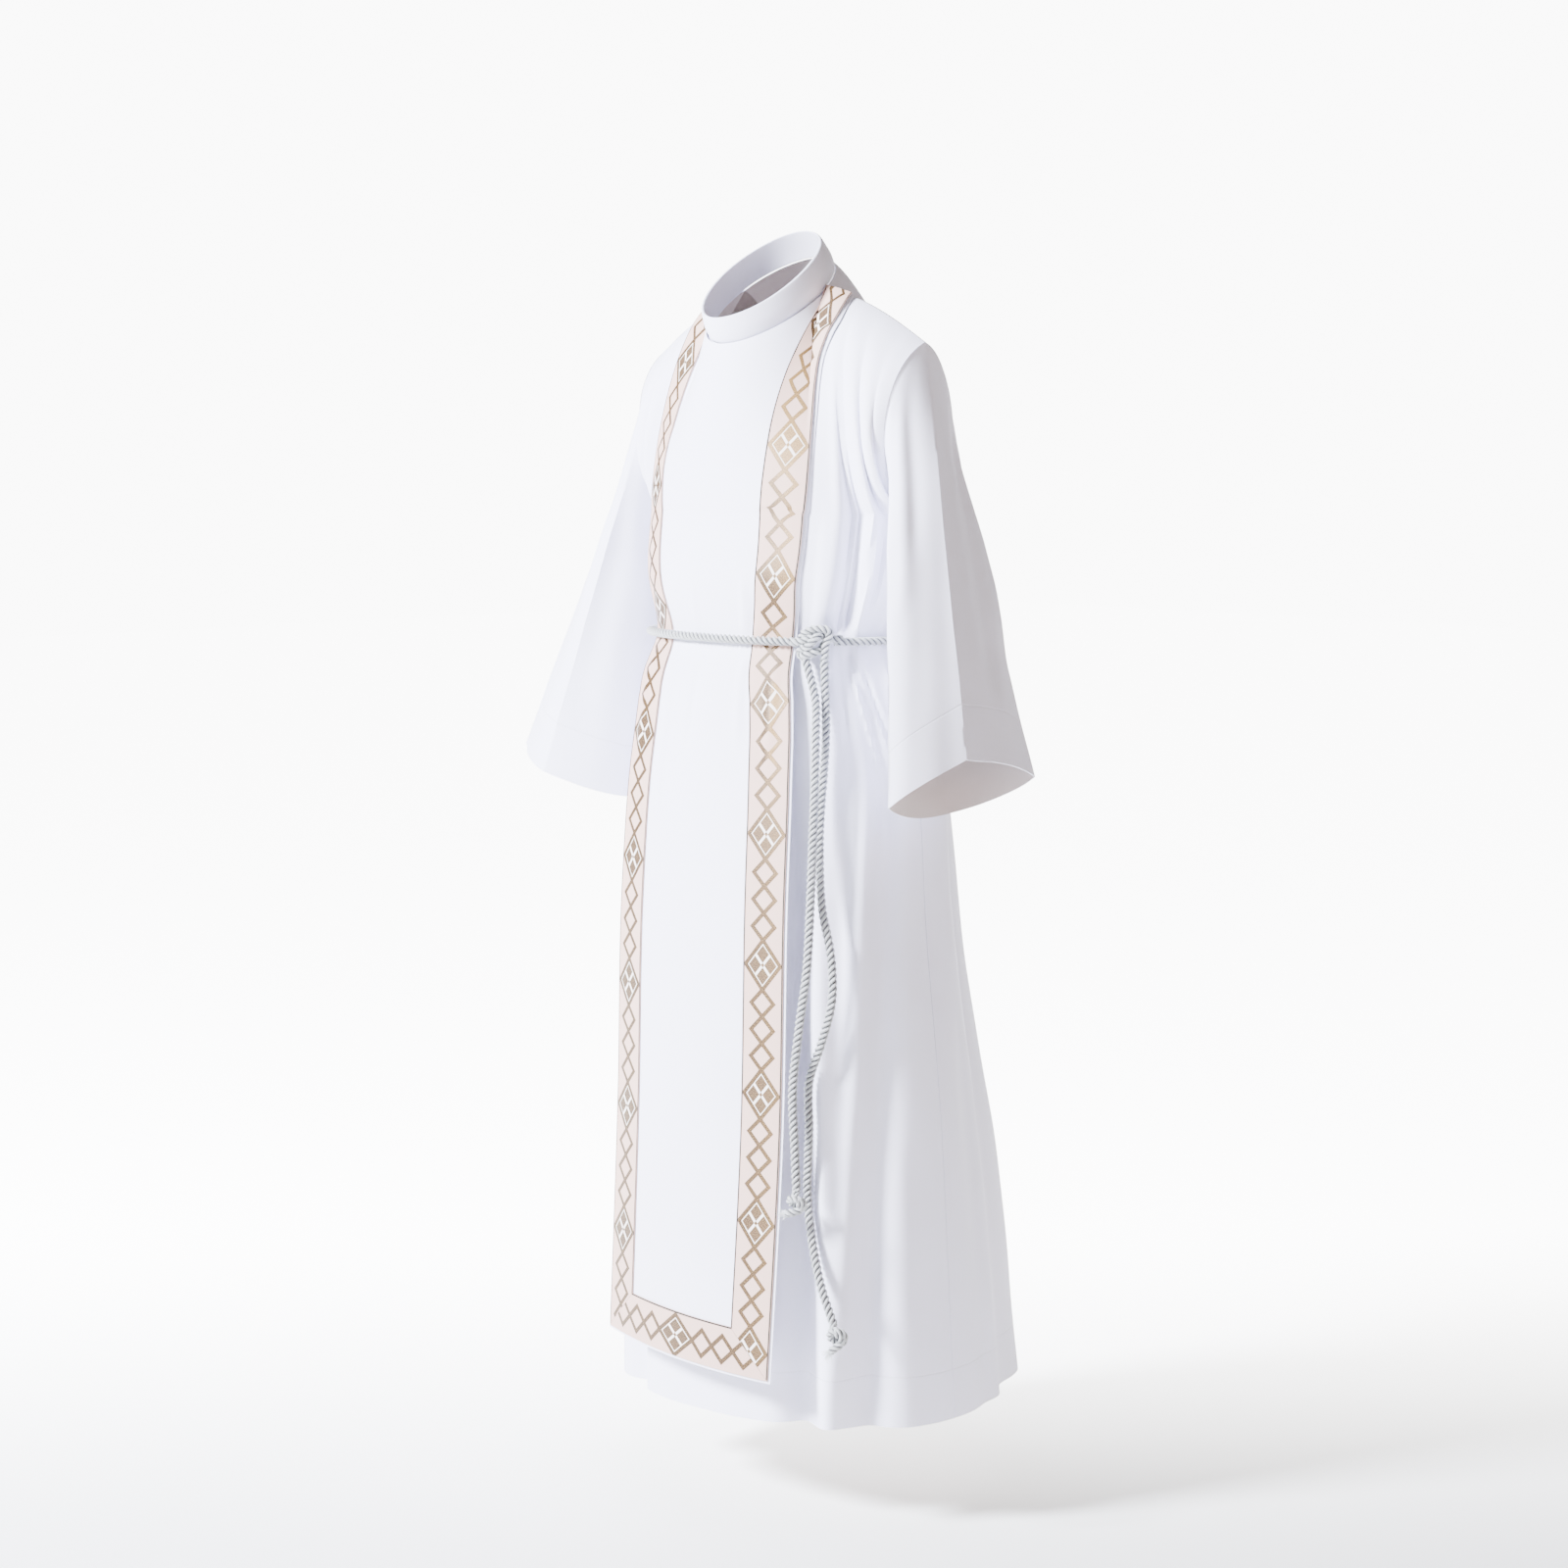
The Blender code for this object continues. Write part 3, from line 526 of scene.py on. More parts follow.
def yoke_point(share, rise, back):
    """Cloth above the armpits: share across -1..1, rise 0..1 from armpit level to seam."""
    side = math.copysign(1.0, share)
    size = abs(share)
    turn = share * 90.0
    if back:
        turn = 180.0 - turn
    start = ring_point(turn, ARMPIT_Z)
    end = top_point(share, back)
    edge = ease((size - 0.50) / 0.50)
    toward = 1.0 if back else -1.0
    run = ease((size - NECK_SHARE * 0.6) / 0.35)
    first = start + np.array([0.0, toward * (0.058 if back else 0.080) * edge, 0.075 - 0.055 * edge])
    first[0] += side * 0.004 * edge
    if back:
        pull = (0.052 - 0.012 * run + 0.002 * edge, -0.030 + 0.030 * run - 0.012 * edge)
    else:
        pull = (-0.010 - 0.034 * run - 0.020 * edge, -0.045 + 0.027 * run - 0.008 * edge)
    second = end + np.array([side * 0.006 * (1 - edge) * (1 - run), *pull])
    a = (1 - rise) ** 3
    b = 3 * rise * (1 - rise) ** 2
    c = 3 * rise * rise * (1 - rise)
    d = rise ** 3
    point = a * start + b * first + c * second + d * end
    level = ARMPIT_Z + rise * YOKE_TALL
    shift = fold_height(turn, level) - fold_height(turn, ARMPIT_Z)
    point[1] += toward * shift * (1 - rise) * 0.9
    return point


def body_point(share, height, back):
    """Height up to ARMPIT_Z is metres; above it the rise 0..1 is added."""
    if height <= ARMPIT_Z:
        turn = share * 90.0
        if back:
            turn = 180.0 - turn
        point = ring_point(turn, height)
    else:
        point = yoke_point(share, height - ARMPIT_Z, back)
    if back:
        point = point + np.array([0.0, SEAM_GAP, 0.0])
    return point


def share_at(x, z):
    """Share of the cloth's width whose point lies x metres across at one height."""
    half_width = section(z)[1]
    square = section(z)[4]
    size = min(abs(x) / half_width, 1.0) ** (square / 2.0)
    return math.copysign(math.degrees(math.asin(size)) / 90.0, x)


@functools.lru_cache(maxsize=None)
def panel_edges(height):
    """Left outer and inner braid edge, then the right ones: shares above the armpit, metres below it."""
    if height > ARMPIT_Z:
        return between_rows(YOKE_EDGES, height - ARMPIT_Z)
    return between_rows(LOW_EDGES, height)


@functools.lru_cache(maxsize=None)
def panel_hang(z):
    """Half width, depth of the middle and depth of the edges of the free panel."""
    return between_rows(PANEL_HANG, z)


def panel_crease(x, z):
    """Outward shift of the panel from its creases."""
    return row_height(PANEL_CREASES, x, z) * (1.0 - 0.9 * math.exp(-((z - BELT_Z) / 0.008) ** 2))


def hang_point(x, z):
    """Panel cloth between the belt, where it lies on the body, and its free lower end."""
    lying = body_point(share_at(x, z), z, False)
    crease = np.array([0.0, -panel_crease(x, z), 0.0])
    if z >= BELT_Z - HANG_GAP:
        return lying + crease
    half, middle, edge = panel_hang(z)
    tilt = PANEL_TILT * x / half * ease((z - TILT_START) / (PANEL_LOW - TILT_START))
    free = np.array([x, middle + (edge - middle) * (x / half) ** 2, z - tilt])
    blend = ease((BELT_Z - HANG_GAP - z) / HANG_BLEND)
    return lying * (1 - blend) + free * blend + crease


def panel_point(place, height):
    """Place across is a share above the armpit and metres below it."""
    if height > ARMPIT_Z:
        return body_point(place, height, False)
    return hang_point(place, height)


def strip_place(height, fraction, side):
    """Place of a side braid from its outer edge 0 to its inner edge 1."""
    edges = panel_edges(height)
    outer, inner = edges[:2] if side > 0 else edges[2:]
    return side * (outer + (inner - outer) * fraction)


def armhole_loop(side, count):
    """Loop from shoulder tip down the front edge, round the armpit and up the back edge."""
    half = count // 2
    loop = []
    for k in range(count):
        if k <= half:
            loop.append(yoke_point(side, 1.0 - k / half, False))
        else:
            loop.append(yoke_point(side, (k - half) / half, True))
    return loop


def corner_ring(corners, count):
    """Four corners joined by sides, each side between straight and round."""
    quarter = count // 4
    centre = sum(corners) / 4.0
    ring = []
    for k in range(count):
        at = k // quarter
        part = (k % quarter) / quarter
        start = corners[at]
        end = corners[(at + 1) % 4]
        straight = start + (end - start) * part
        angle = part * math.pi / 2
        middle = centre + (start - centre) * math.cos(angle) + (end - centre) * math.sin(angle)
        soft = CORNER_ROUND[at] * (1 - part) + CORNER_ROUND[(at + 1) % 4] * part
        ring.append(straight * (1 - soft) + middle * soft)
    return ring


def grid_normals(points, closed=False):
    """Outward normals of a grid of points, rows up, columns across."""
    if closed:
        across = np.roll(points, -1, axis=1) - np.roll(points, 1, axis=1)
    else:
        wide = np.concatenate([points[:, :1], points, points[:, -1:]], axis=1)
        across = wide[:, 2:] - wide[:, :-2]
    tall = np.concatenate([points[:1], points, points[-1:]], axis=0)
    along = tall[2:] - tall[:-2]
    normals = np.cross(across, along)
    size = np.linalg.norm(normals, axis=2, keepdims=True)
    return normals / np.maximum(size, 1e-12)


def spans(points, axis):
    """Running length in metres along one axis of a grid."""
    steps = np.linalg.norm(np.diff(points, axis=axis), axis=2)
    start = np.zeros_like(np.take(steps, [0], axis=axis))
    return np.concatenate([start, np.cumsum(steps, axis=axis)], axis=axis)


def finish_mesh(name, verts, faces, uvs, material, crease_angle=40.0):
    """One mesh object with metres as its texture coordinates and its material."""
    mesh = bpy.data.meshes.new(name)
    mesh.from_pydata([tuple(v) for v in verts], [], faces)
    layer = mesh.uv_layers.new(name="metres")
    layer.data.foreach_set("uv", np.asarray(uvs, dtype=np.float32).ravel())
    mesh.polygons.foreach_set("use_smooth", [True] * len(mesh.polygons))
    mesh.set_sharp_from_angle(angle=math.radians(crease_angle))
    mesh.materials.append(material)
    mesh.validate()
    obj = bpy.data.objects.new(name, mesh)
    bpy.context.scene.collection.objects.link(obj)
    return obj


def cloth_shell(name, points, thickness, material, u, v, lift=0.0, closed=False, normals=None, inside_shade=None):
    """Thin cloth: outer skin on the grid, inner skin behind it and the cut edge between; the inner skin
    takes the painted shade material when one is given.
    """
    rows, count = points.shape[:2]
    if normals is None:
        normals = grid_normals(points, closed)
    outer = points + normals * (lift if np.isscalar(lift) else lift[:, :, None])
    inner = outer - normals * thickness
    verts = np.concatenate([outer.reshape(-1, 3), inner.reshape(-1, 3)])
    total = rows * count
    faces = []
    inside = []
    uvs = []
    columns = count if closed else count - 1

    def corner(j, i):
        return (u[j, i], v[j, i % v.shape[1]])

    for j in range(rows - 1):
        for i in range(columns):
            k = (i + 1) % count
            quad = (j * count + i, j * count + k, (j + 1) * count + k, (j + 1) * count + i)
            places = (corner(j, i), corner(j, i + 1), corner(j + 1, i + 1), corner(j + 1, i))
            faces.append(quad)
            uvs.extend(places)
            inside.append(len(faces))
            faces.append(tuple(total + q for q in reversed(quad)))
            uvs.extend(reversed(places))
    for j, low in ((0, True), (rows - 1, False)):
        for i in range(columns):
            k = (i + 1) % count
            a = j * count + i
            b = j * count + k
            faces.append((b, a, total + a, total + b) if low else (a, b, total + b, total + a))
            uvs.extend([corner(j, i)] * 4)
    if not closed:
        for i, left in ((0, True), (count - 1, False)):
            for j in range(rows - 1):
                a = j * count + i
                b = (j + 1) * count + i
                faces.append((a, b, total + b, total + a) if left else (b, a, total + a, total + b))
                uvs.extend([corner(j, i)] * 4)
    obj = finish_mesh(name, verts, faces, uvs, material)
    # Painted shade: the inner skin takes the darker inside material.
    if inside_shade is not None:
        obj.data.materials.append(inside_shade)
        for face in inside:
            obj.data.polygons[face].material_index = 1
    return obj


def running_length(path):
    """Metres along a path at each of its points."""
    return np.concatenate([[0.0], np.cumsum(np.linalg.norm(np.diff(path, axis=0), axis=1))])


def even_path(points, step):
    """Even smooth path through table points."""
    points = np.array(points, float)
    lengths = running_length(points)
    count = max(3, int(lengths[-1] / step) + 1)
    where = np.linspace(0.0, lengths[-1], count)
    return np.array([[smooth(s, lengths, points[:, axis]) for axis in range(3)] for s in where])


def strand_point(beta, radius):
    """Turn and distance from the rope's middle of one point on a round strand."""
    x = radius * (STRAND_OUT + STRAND_FAT * math.cos(beta))
    y = radius * STRAND_FAT * math.sin(beta)
    return math.atan2(y, x), math.hypot(x, y)


def rope_mesh(name, path, radius, material, pitch, start=0.0):
    """Three strands twisted round a path; texture coordinates run round each strand and along it."""
    count = len(path)
    ahead = np.gradient(path, axis=0)
    ahead /= np.linalg.norm(ahead, axis=1, keepdims=True)
    side = np.cross(ahead[0], np.array([0.0, 0.0, 1.0]))
    if np.linalg.norm(side) < 0.2:
        side = np.cross(ahead[0], np.array([0.0, 1.0, 0.0]))
    side /= np.linalg.norm(side)
    lengths = running_length(path)
    betas = np.linspace(-STRAND_REACH, STRAND_REACH, STRAND_STEPS + 1)
    verts = []
    for k in range(count):
        side = side - ahead[k] * np.dot(side, ahead[k])
        side /= np.linalg.norm(side)
        other = np.cross(ahead[k], side)
        twist = start + 2 * math.pi * lengths[k] / pitch
        for strand in range(3):
            for beta in betas[:-1]:
                angle, far = strand_point(beta, radius)
                angle += twist + strand * 2 * math.pi / 3
                verts.append(path[k] + far * (side * math.cos(angle) + other * math.sin(angle)))
    around = 3 * STRAND_STEPS
    faces = []
    uvs = []
    for k in range(count - 1):
        for s in range(around):
            t = (s + 1) % around
            faces.append((k * around + s, k * around + t, (k + 1) * around + t, (k + 1) * around + s))
            low = betas[s % STRAND_STEPS] * STRAND_FAT * radius
            high = betas[s % STRAND_STEPS + 1] * STRAND_FAT * radius
            uvs += [(low, lengths[k]), (high, lengths[k]), (high, lengths[k + 1]), (low, lengths[k + 1])]
    faces.append(tuple(reversed(range(around))))
    uvs += [(0.0, 0.0)] * around
    faces.append(tuple((count - 1) * around + s for s in range(around)))
    uvs += [(0.0, 0.0)] * around
    return finish_mesh(name, verts, faces, uvs, material, 75.0)


def belt_place(turn, lift):
    """Point outside the cloth at belt height, with the outward direction there."""
    point = ring_point(turn, BELT_Z)
    half_width, front, back = section(BELT_Z)[1:4]
    c = math.cos(math.radians(turn))
    out = np.array([math.sin(math.radians(turn)) / half_width, -c / (front if c > 0 else back), 0.0])
    out /= np.linalg.norm(out)
    return point + out * lift, out


def belt_path():
    """Places round the waist from one side of the knot to the other, lifted over the panel."""
    path = []
    for turn in np.linspace(KNOT_TURN + KNOT_GAP, KNOT_TURN - KNOT_GAP + 360.0, BELT_POINTS):
        turn = float(turn)
        x = belt_place(turn, 0.0)[0][0]
        front = math.cos(math.radians(turn)) > 0
        over = 1.0 - ease((abs(x) - BELT_PANEL_HALF) / BELT_RAMP) if front else 0.0
        path.append(belt_place(turn, BELT_LIFT + over * BELT_OVER_PANEL)[0])
    return path


class NodeMaker:
    """Adds linked nodes to one tree."""

    def __init__(self, tree):
        self.tree = tree

    def add(self, kind, **settings):
        node = self.tree.nodes.new(kind)
        for name, value in settings.items():
            setattr(node, name, value)
        return node

    def put(self, socket, value):
        if isinstance(value, bpy.types.NodeSocket):
            self.tree.links.new(value, socket)
        else:
            socket.default_value = value

    def math(self, operation, *values):
        node = self.add("ShaderNodeMath", operation=operation)
        for socket, value in zip(node.inputs, values):
            self.put(socket, value)
        return node.outputs[0]

    def plus(self, first, second):
        return self.math("ADD", first, second)

    def minus(self, first, second):
        return self.math("SUBTRACT", first, second)

    def times(self, first, second):
        return self.math("MULTIPLY", first, second)

    def over(self, first, second):
        return self.math("DIVIDE", first, second)

    def rest(self, value):
        return self.math("SUBTRACT", 1.0, value)

    def size(self, value):
        return self.math("ABSOLUTE", value)

    def sine(self, value):
        return self.math("SINE", value)

    def below(self, value, limit, soft):
        """1 under the limit, 0 above it, with a soft step between."""
        node = self.add("ShaderNodeMapRange", interpolation_type="SMOOTHSTEP")
        self.put(node.inputs["Value"], value)
        self.put(node.inputs["From Min"], self.minus(limit, soft))
        self.put(node.inputs["From Max"], self.plus(limit, soft))
        node.inputs["To Min"].default_value = 1.0
        node.inputs["To Max"].default_value = 0.0
        return node.outputs["Result"]

    def mix(self, share, first, second):
        node = self.add("ShaderNodeMix", data_type="RGBA")
        self.put(node.inputs["Factor"], share)
        self.put(node.inputs["A"], first)
        self.put(node.inputs["B"], second)
        return node.outputs["Result"]

    def axes(self, vector):
        node = self.add("ShaderNodeSeparateXYZ")
        self.put(node.inputs[0], vector)
        return node.outputs["X"], node.outputs["Y"], node.outputs["Z"]

    def noise(self, vector, scale, detail=2.0, rough=0.5):
        node = self.add("ShaderNodeTexNoise")
        self.put(node.inputs["Vector"], vector)
        self.put(node.inputs["Scale"], scale)
        node.inputs["Detail"].default_value = detail
        node.inputs["Roughness"].default_value = rough
        return node.outputs["Fac"]

    def group(self, name, **inputs):
        node = self.add("ShaderNodeGroup", node_tree=bpy.data.node_groups[name])
        for key, value in inputs.items():
            self.put(node.inputs[key.replace("_", " ")], value)
        return node

    def bump(self, height, distance, strength, normal=None):
        node = self.add("ShaderNodeBump")
        self.put(node.inputs["Height"], height)
        node.inputs["Distance"].default_value = distance
        node.inputs["Strength"].default_value = strength
        if normal is not None:
            self.put(node.inputs["Normal"], normal)
        return node.outputs["Normal"]


def new_group(name, inputs, outputs):
    """Empty shader group: its float inputs have a float as value, its vector inputs a tuple or none."""
    tree = bpy.data.node_groups.new(name, "ShaderNodeTree")
    for label, value in inputs.items():
        kind = "NodeSocketFloat" if isinstance(value, float) else "NodeSocketVector"
        socket = tree.interface.new_socket(label, in_out="INPUT", socket_type=kind)
        if value is not None:
            socket.default_value = value
    for label in outputs:
        tree.interface.new_socket(label, in_out="OUTPUT", socket_type="NodeSocketFloat")
    make = NodeMaker(tree)
    return make, make.add("NodeGroupInput").outputs, make.add("NodeGroupOutput").inputs


def weave_group():
    """Crossed threads as a height from 0 to 1."""
    inputs = {"Place": None, "Pitch": 0.0006, "Slant": 1.0}
    make, given, wanted = new_group("Weave", inputs, ("Height",))
    u, v = make.axes(given["Place"])[:2]
    turn = make.over(2 * math.pi, given["Pitch"])
    over = make.sine(make.times(u, turn))
    up = make.sine(make.times(v, turn))
    slant = make.plus(u, make.times(v, given["Slant"]))
    twill = make.sine(make.times(slant, make.times(turn, 0.5)))
    height = make.plus(make.times(over, up), twill)
    make.put(wanted["Height"], make.math("MULTIPLY_ADD", height, 0.25, 0.5))


def stitch_group():
    """Row of stitches across the cloth at one place along it."""
    inputs = {"Place": None, "Row": 0.05, "Wide": 0.0008, "Pitch": 0.0032}
    make, given, wanted = new_group("Stitch Row", inputs, ("Groove", "Thread"))
    u, v = make.axes(given["Place"])[:2]
    away = make.size(make.minus(v, given["Row"]))
    groove = make.below(away, given["Wide"], make.times(given["Wide"], 0.6))
    turn = make.over(u, given["Pitch"])
    dash = make.below(make.math("FRACT", turn), 0.72, 0.08)
    make.put(wanted["Groove"], groove)
    make.put(wanted["Thread"], make.times(groove, dash))


def braid_group():
    """Braid motif: large quartered diamond, then three small open ones; masks from 0 to 1."""
    inputs = {"Place": None, "Phase": 0.0, "Blur": 0.00022}
    make, given, wanted = new_group("Braid Motif", inputs, ("Line", "Solid", "Light", "Border"))
    u, v = make.axes(given["Place"])[:2]
    blur = given["Blur"]
    across = make.size(u)
    shifted = make.minus(v, given["Phase"])
    along = make.math("WRAP", shifted, MOTIF_REPEAT / 2, -MOTIF_REPEAT / 2)
    far = make.size(along)
    big = make.plus(make.over(across, BIG_WIDE), make.over(far, BIG_TALL))
    big_scale = BIG_WIDE * BIG_TALL / math.hypot(BIG_WIDE, BIG_TALL)
    big_gap = make.times(make.size(make.minus(big, 1.0)), big_scale)
    big_line = make.below(big_gap, MOTIF_LINE / 2, blur)
    past = make.minus(far, BIG_TALL)
    beyond = make.math("GREATER_THAN", past, -0.0006)
    local = make.math("WRAP", past, 2 * SMALL_TALL, 0.0)
    local = make.size(make.minus(local, SMALL_TALL))
    small = make.plus(make.over(across, SMALL_WIDE), make.over(local, SMALL_TALL))
    small_scale = SMALL_WIDE * SMALL_TALL / math.hypot(SMALL_WIDE, SMALL_TALL)
    small_gap = make.times(make.size(make.minus(small, 1.0)), small_scale)
    small_line = make.times(make.below(small_gap, MOTIF_LINE / 2, blur), beyond)
    first = make.plus(make.over(u, BIG_WIDE), make.over(along, BIG_TALL))
    second = make.minus(make.over(u, BIG_WIDE), make.over(along, BIG_TALL))
    first = make.size(first)
    second = make.size(second)
    outer = make.math("MAXIMUM", first, second)
    inner = make.math("MINIMUM", first, second)
    soft = make.over(blur, big_scale)
    block = make.times(make.below(outer, QUARTER_OUT, soft),
                      make.rest(make.below(inner, QUARTER_IN, soft)))
    heart = make.below(outer, 0.10, soft)
    solid = make.math("MAXIMUM", block, heart)
    within = make.below(outer, LIGHT_OUT, soft)
    light = make.times(within, make.rest(solid))
    edge = make.size(make.minus(across, BORDER_PLACE))
    make.put(wanted["Line"], make.math("MAXIMUM", big_line, small_line))
    make.put(wanted["Solid"], solid)
    make.put(wanted["Light"], light)
    make.put(wanted["Border"], make.below(edge, BORDER_WIDE / 2, blur))


def fibre_group():
    """Fine plies laid slantwise on each strand, as a height from 0 to 1, and the groove between strands."""
    inputs = {"Place": None, "Pitch": 0.0011, "Lay": 0.9, "Edge": 0.0040}
    make, given, wanted = new_group("Cord Plies", inputs, ("Height", "Groove"))
    u, v = make.axes(given["Place"])[:2]
    turn = make.over(2 * math.pi, given["Pitch"])
    slant = make.plus(make.times(u, given["Lay"]), v)
    main = make.sine(make.times(slant, turn))
    fine = make.sine(make.times(slant, make.times(turn, 3.1)))
    height = make.plus(make.times(main, 0.38), make.times(fine, 0.12))
    make.put(wanted["Height"], make.plus(height, 0.5))
    away = make.over(make.size(u), given["Edge"])
    make.put(wanted["Groove"], make.rest(make.below(away, 0.74, 0.22)))


def rumple_group():
    """Soft uneven swell of worn cloth, as a height from 0 to 1."""
    make, given, wanted = new_group("Rumple", {"Scale": 16.0, "Stretch": 0.35}, ("Height",))
    spot = make.add("ShaderNodeTexCoord").outputs["Object"]
    squeeze = make.add("ShaderNodeVectorMath", operation="MULTIPLY")
    make.put(squeeze.inputs[0], spot)
    stretch = make.add("ShaderNodeCombineXYZ")
    stretch.inputs["X"].default_value = 1.0
    stretch.inputs["Y"].default_value = 1.0
    make.put(stretch.inputs["Z"], given["Stretch"])
    make.put(squeeze.inputs[1], stretch.outputs[0])
    make.put(wanted["Height"], make.noise(squeeze.outputs[0], given["Scale"], 3.0, 0.45))


def catch_group():
    """How far the surface turns towards one fixed direction, from 0 to 1."""
    inputs = {"Toward": (0.0, -1.0, 0.0), "Low": 0.2, "High": 0.9}
    make, given, wanted = new_group("Light Catch", inputs, ("Catch",))
    normal = make.add("ShaderNodeNewGeometry").outputs["Normal"]
    dot = make.add("ShaderNodeVectorMath", operation="DOT_PRODUCT")
    make.put(dot.inputs[0], normal)
    make.put(dot.inputs[1], given["Toward"])
    ramp = make.add("ShaderNodeMapRange", interpolation_type="SMOOTHSTEP")
    make.put(ramp.inputs["Value"], dot.outputs["Value"])
    make.put(ramp.inputs["From Min"], given["Low"])
    make.put(ramp.inputs["From Max"], given["High"])
    make.put(wanted["Catch"], ramp.outputs["Result"])


def make_groups():
    for build in (weave_group, stitch_group, braid_group, fibre_group, rumple_group, catch_group):
        build()


def start_material(name):
    """Material with one Principled shader, its node maker and the metre coordinates."""
    material = bpy.data.materials.new(name)
    material.use_nodes = True
    make = NodeMaker(material.node_tree)
    shader = material.node_tree.nodes["Principled BSDF"]
    place = make.add("ShaderNodeUVMap", uv_map="metres").outputs["UV"]
    return material, make, shader, place


def shade_of(colour, share=1.0):
    """Colour times a share, kept to 1, with full alpha."""
    return tuple(min(1.0, channel * share) for channel in colour) + (1.0,)


def set_values(shader, *pairs):
    for name, value in pairs:
        shader.inputs[name].default_value = value


def cloth_material(name, settings, row=None, colour=None):
    """Smooth white cloth with a fine twill, soft rumples and, where given, a stitched hem row with painted
    shade in its groove.
    """
    material, make, shader, place = start_material(name)
    rumple = make.group("Rumple", Scale=22.0, Stretch=0.40).outputs["Height"]
    weave = make.group("Weave", Place=place, Pitch=settings.weave_pitch).outputs["Height"]
    plain = colour or settings.cloth_colour
    look = make.mix(rumple, shade_of(plain, CLOTH_SHADE), shade_of(plain))
    normal = make.bump(rumple, RUMPLE_TALL, 0.35)
    normal = make.bump(weave, WEAVE_TALL, settings.weave_depth, normal)
    if row is not None:
        stitch = make.group("Stitch Row", Place=place, Row=row)
        groove = stitch.outputs["Groove"]
        # Painted shade: the stitch groove is coloured a little darker.
        look = make.mix(make.times(groove, STITCH_SHARE), look, STITCH_GROOVE_SHADE)
        dip = make.minus(make.times(stitch.outputs["Thread"], 0.5), groove)
        normal = make.bump(dip, STITCH_TALL, 0.5, normal)
    make.put(shader.inputs["Base Color"], look)
    make.put(shader.inputs["Normal"], normal)
    set_values(shader, ("Roughness", settings.cloth_roughness), ("Specular IOR Level", 0.28),
               ("Sheen Weight", 0.18), ("Sheen Roughness", 0.45))
    return material


def braid_material(name, settings, phase):
    """Ribbed pale braid with diamonds in metal thread; the thread's colour carries a painted highlight and
    painted glints.
    """
    material, make, shader, place = start_material(name)
    motif = make.group("Braid Motif", Place=place, Phase=phase).outputs
    border = motif["Border"]
    u, v = make.axes(place)[:2]
    rib = make.sine(make.times(v, 2 * math.pi / BRAID_RIB))
    strand = make.sine(make.times(u, 2 * math.pi / (BRAID_RIB * 0.8)))
    speck = make.noise(place, SPECK_SCALE, 2.0, 0.7)
    ground = settings.braid_ground
    look = make.mix(make.math("MULTIPLY_ADD", rib, 0.25, 0.5), shade_of(ground), shade_of(ground, 1.05))
    look = make.mix(make.times(motif["Light"], 0.8), look, PALE_THREAD)
    # Painted highlight and painted glints: the thread turns from its shaded colour to lit gold where it
    # faces CATCH_TOWARD and at random specks.
    catch = make.group("Light Catch", Toward=CATCH_TOWARD, Low=CATCH_LOW, High=CATCH_HIGH).outputs["Catch"]
    sparkle = make.math("MULTIPLY_ADD", speck, 3.2, -1.50)
    bright = make.plus(make.times(catch, CATCH_SHARE), make.times(sparkle, SPARKLE_SHARE))
    bright = make.math("MINIMUM", make.math("MAXIMUM", bright, 0.0), 1.0)
    thread_colour = make.mix(bright, shade_of(settings.thread_dark), shade_of(settings.thread_light))
    woven = make.math("MULTIPLY_ADD", make.times(rib, strand), 0.02, 0.98)
    thread = make.math("MAXIMUM", motif["Line"], make.times(motif["Solid"], woven))
    look = make.mix(thread, look, thread_colour)
    look = make.mix(border, look, shade_of(settings.border_colour))
    height = make.plus(make.times(thread, 0.7), make.times(rib, 0.12))
    height = make.minus(height, make.times(border, 0.5))
    height = make.plus(height, make.times(make.times(speck, thread), 0.4))
    make.put(shader.inputs["Base Color"], look)
    make.put(shader.inputs["Metallic"], make.times(thread, 0.20))
    make.put(shader.inputs["Roughness"], make.minus(0.62, make.times(thread, 0.24)))
    make.put(shader.inputs["Normal"], make.bump(height, BRAID_TALL, 0.8))
    set_values(shader, ("Specular IOR Level", 0.25))
    return material


def cord_material(name, settings):
    """Satin rope: bright plies with painted shade between them and in the grooves between strands."""
    material, make, shader, place = start_material(name)
    plies = make.group("Cord Plies", Place=place, Pitch=settings.ply_pitch).outputs
    height = plies["Height"]
    colour = settings.cord_colour
    # Painted shade: the rope is darker where the ply relief is low and in the grooves between strands.
    look = make.mix(make.math("POWER", height, 0.7), shade_of(colour, 0.24), shade_of(colour))
    look = make.mix(make.times(plies["Groove"], 0.92), look, GROOVE_SHADE_COLOUR)
    make.put(shader.inputs["Base Color"], look)
    make.put(shader.inputs["Normal"], make.bump(height, PLY_TALL, 0.9))
    set_values(shader, ("Roughness", 0.34), ("Sheen Weight", 0.25), ("Specular IOR Level", 0.6))
    return material


def fibre_material(name, settings):
    """Loose fibres of the frayed cord ends."""
    material, make, shader, place = start_material(name)
    fade = make.noise(place, 900.0, 1.0)
    colour = settings.cord_colour
    make.put(shader.inputs["Base Color"], make.mix(fade, shade_of(colour, 0.72), shade_of(colour)))
    set_values(shader, ("Roughness", 0.4), ("Sheen Weight", 0.3))
    return material


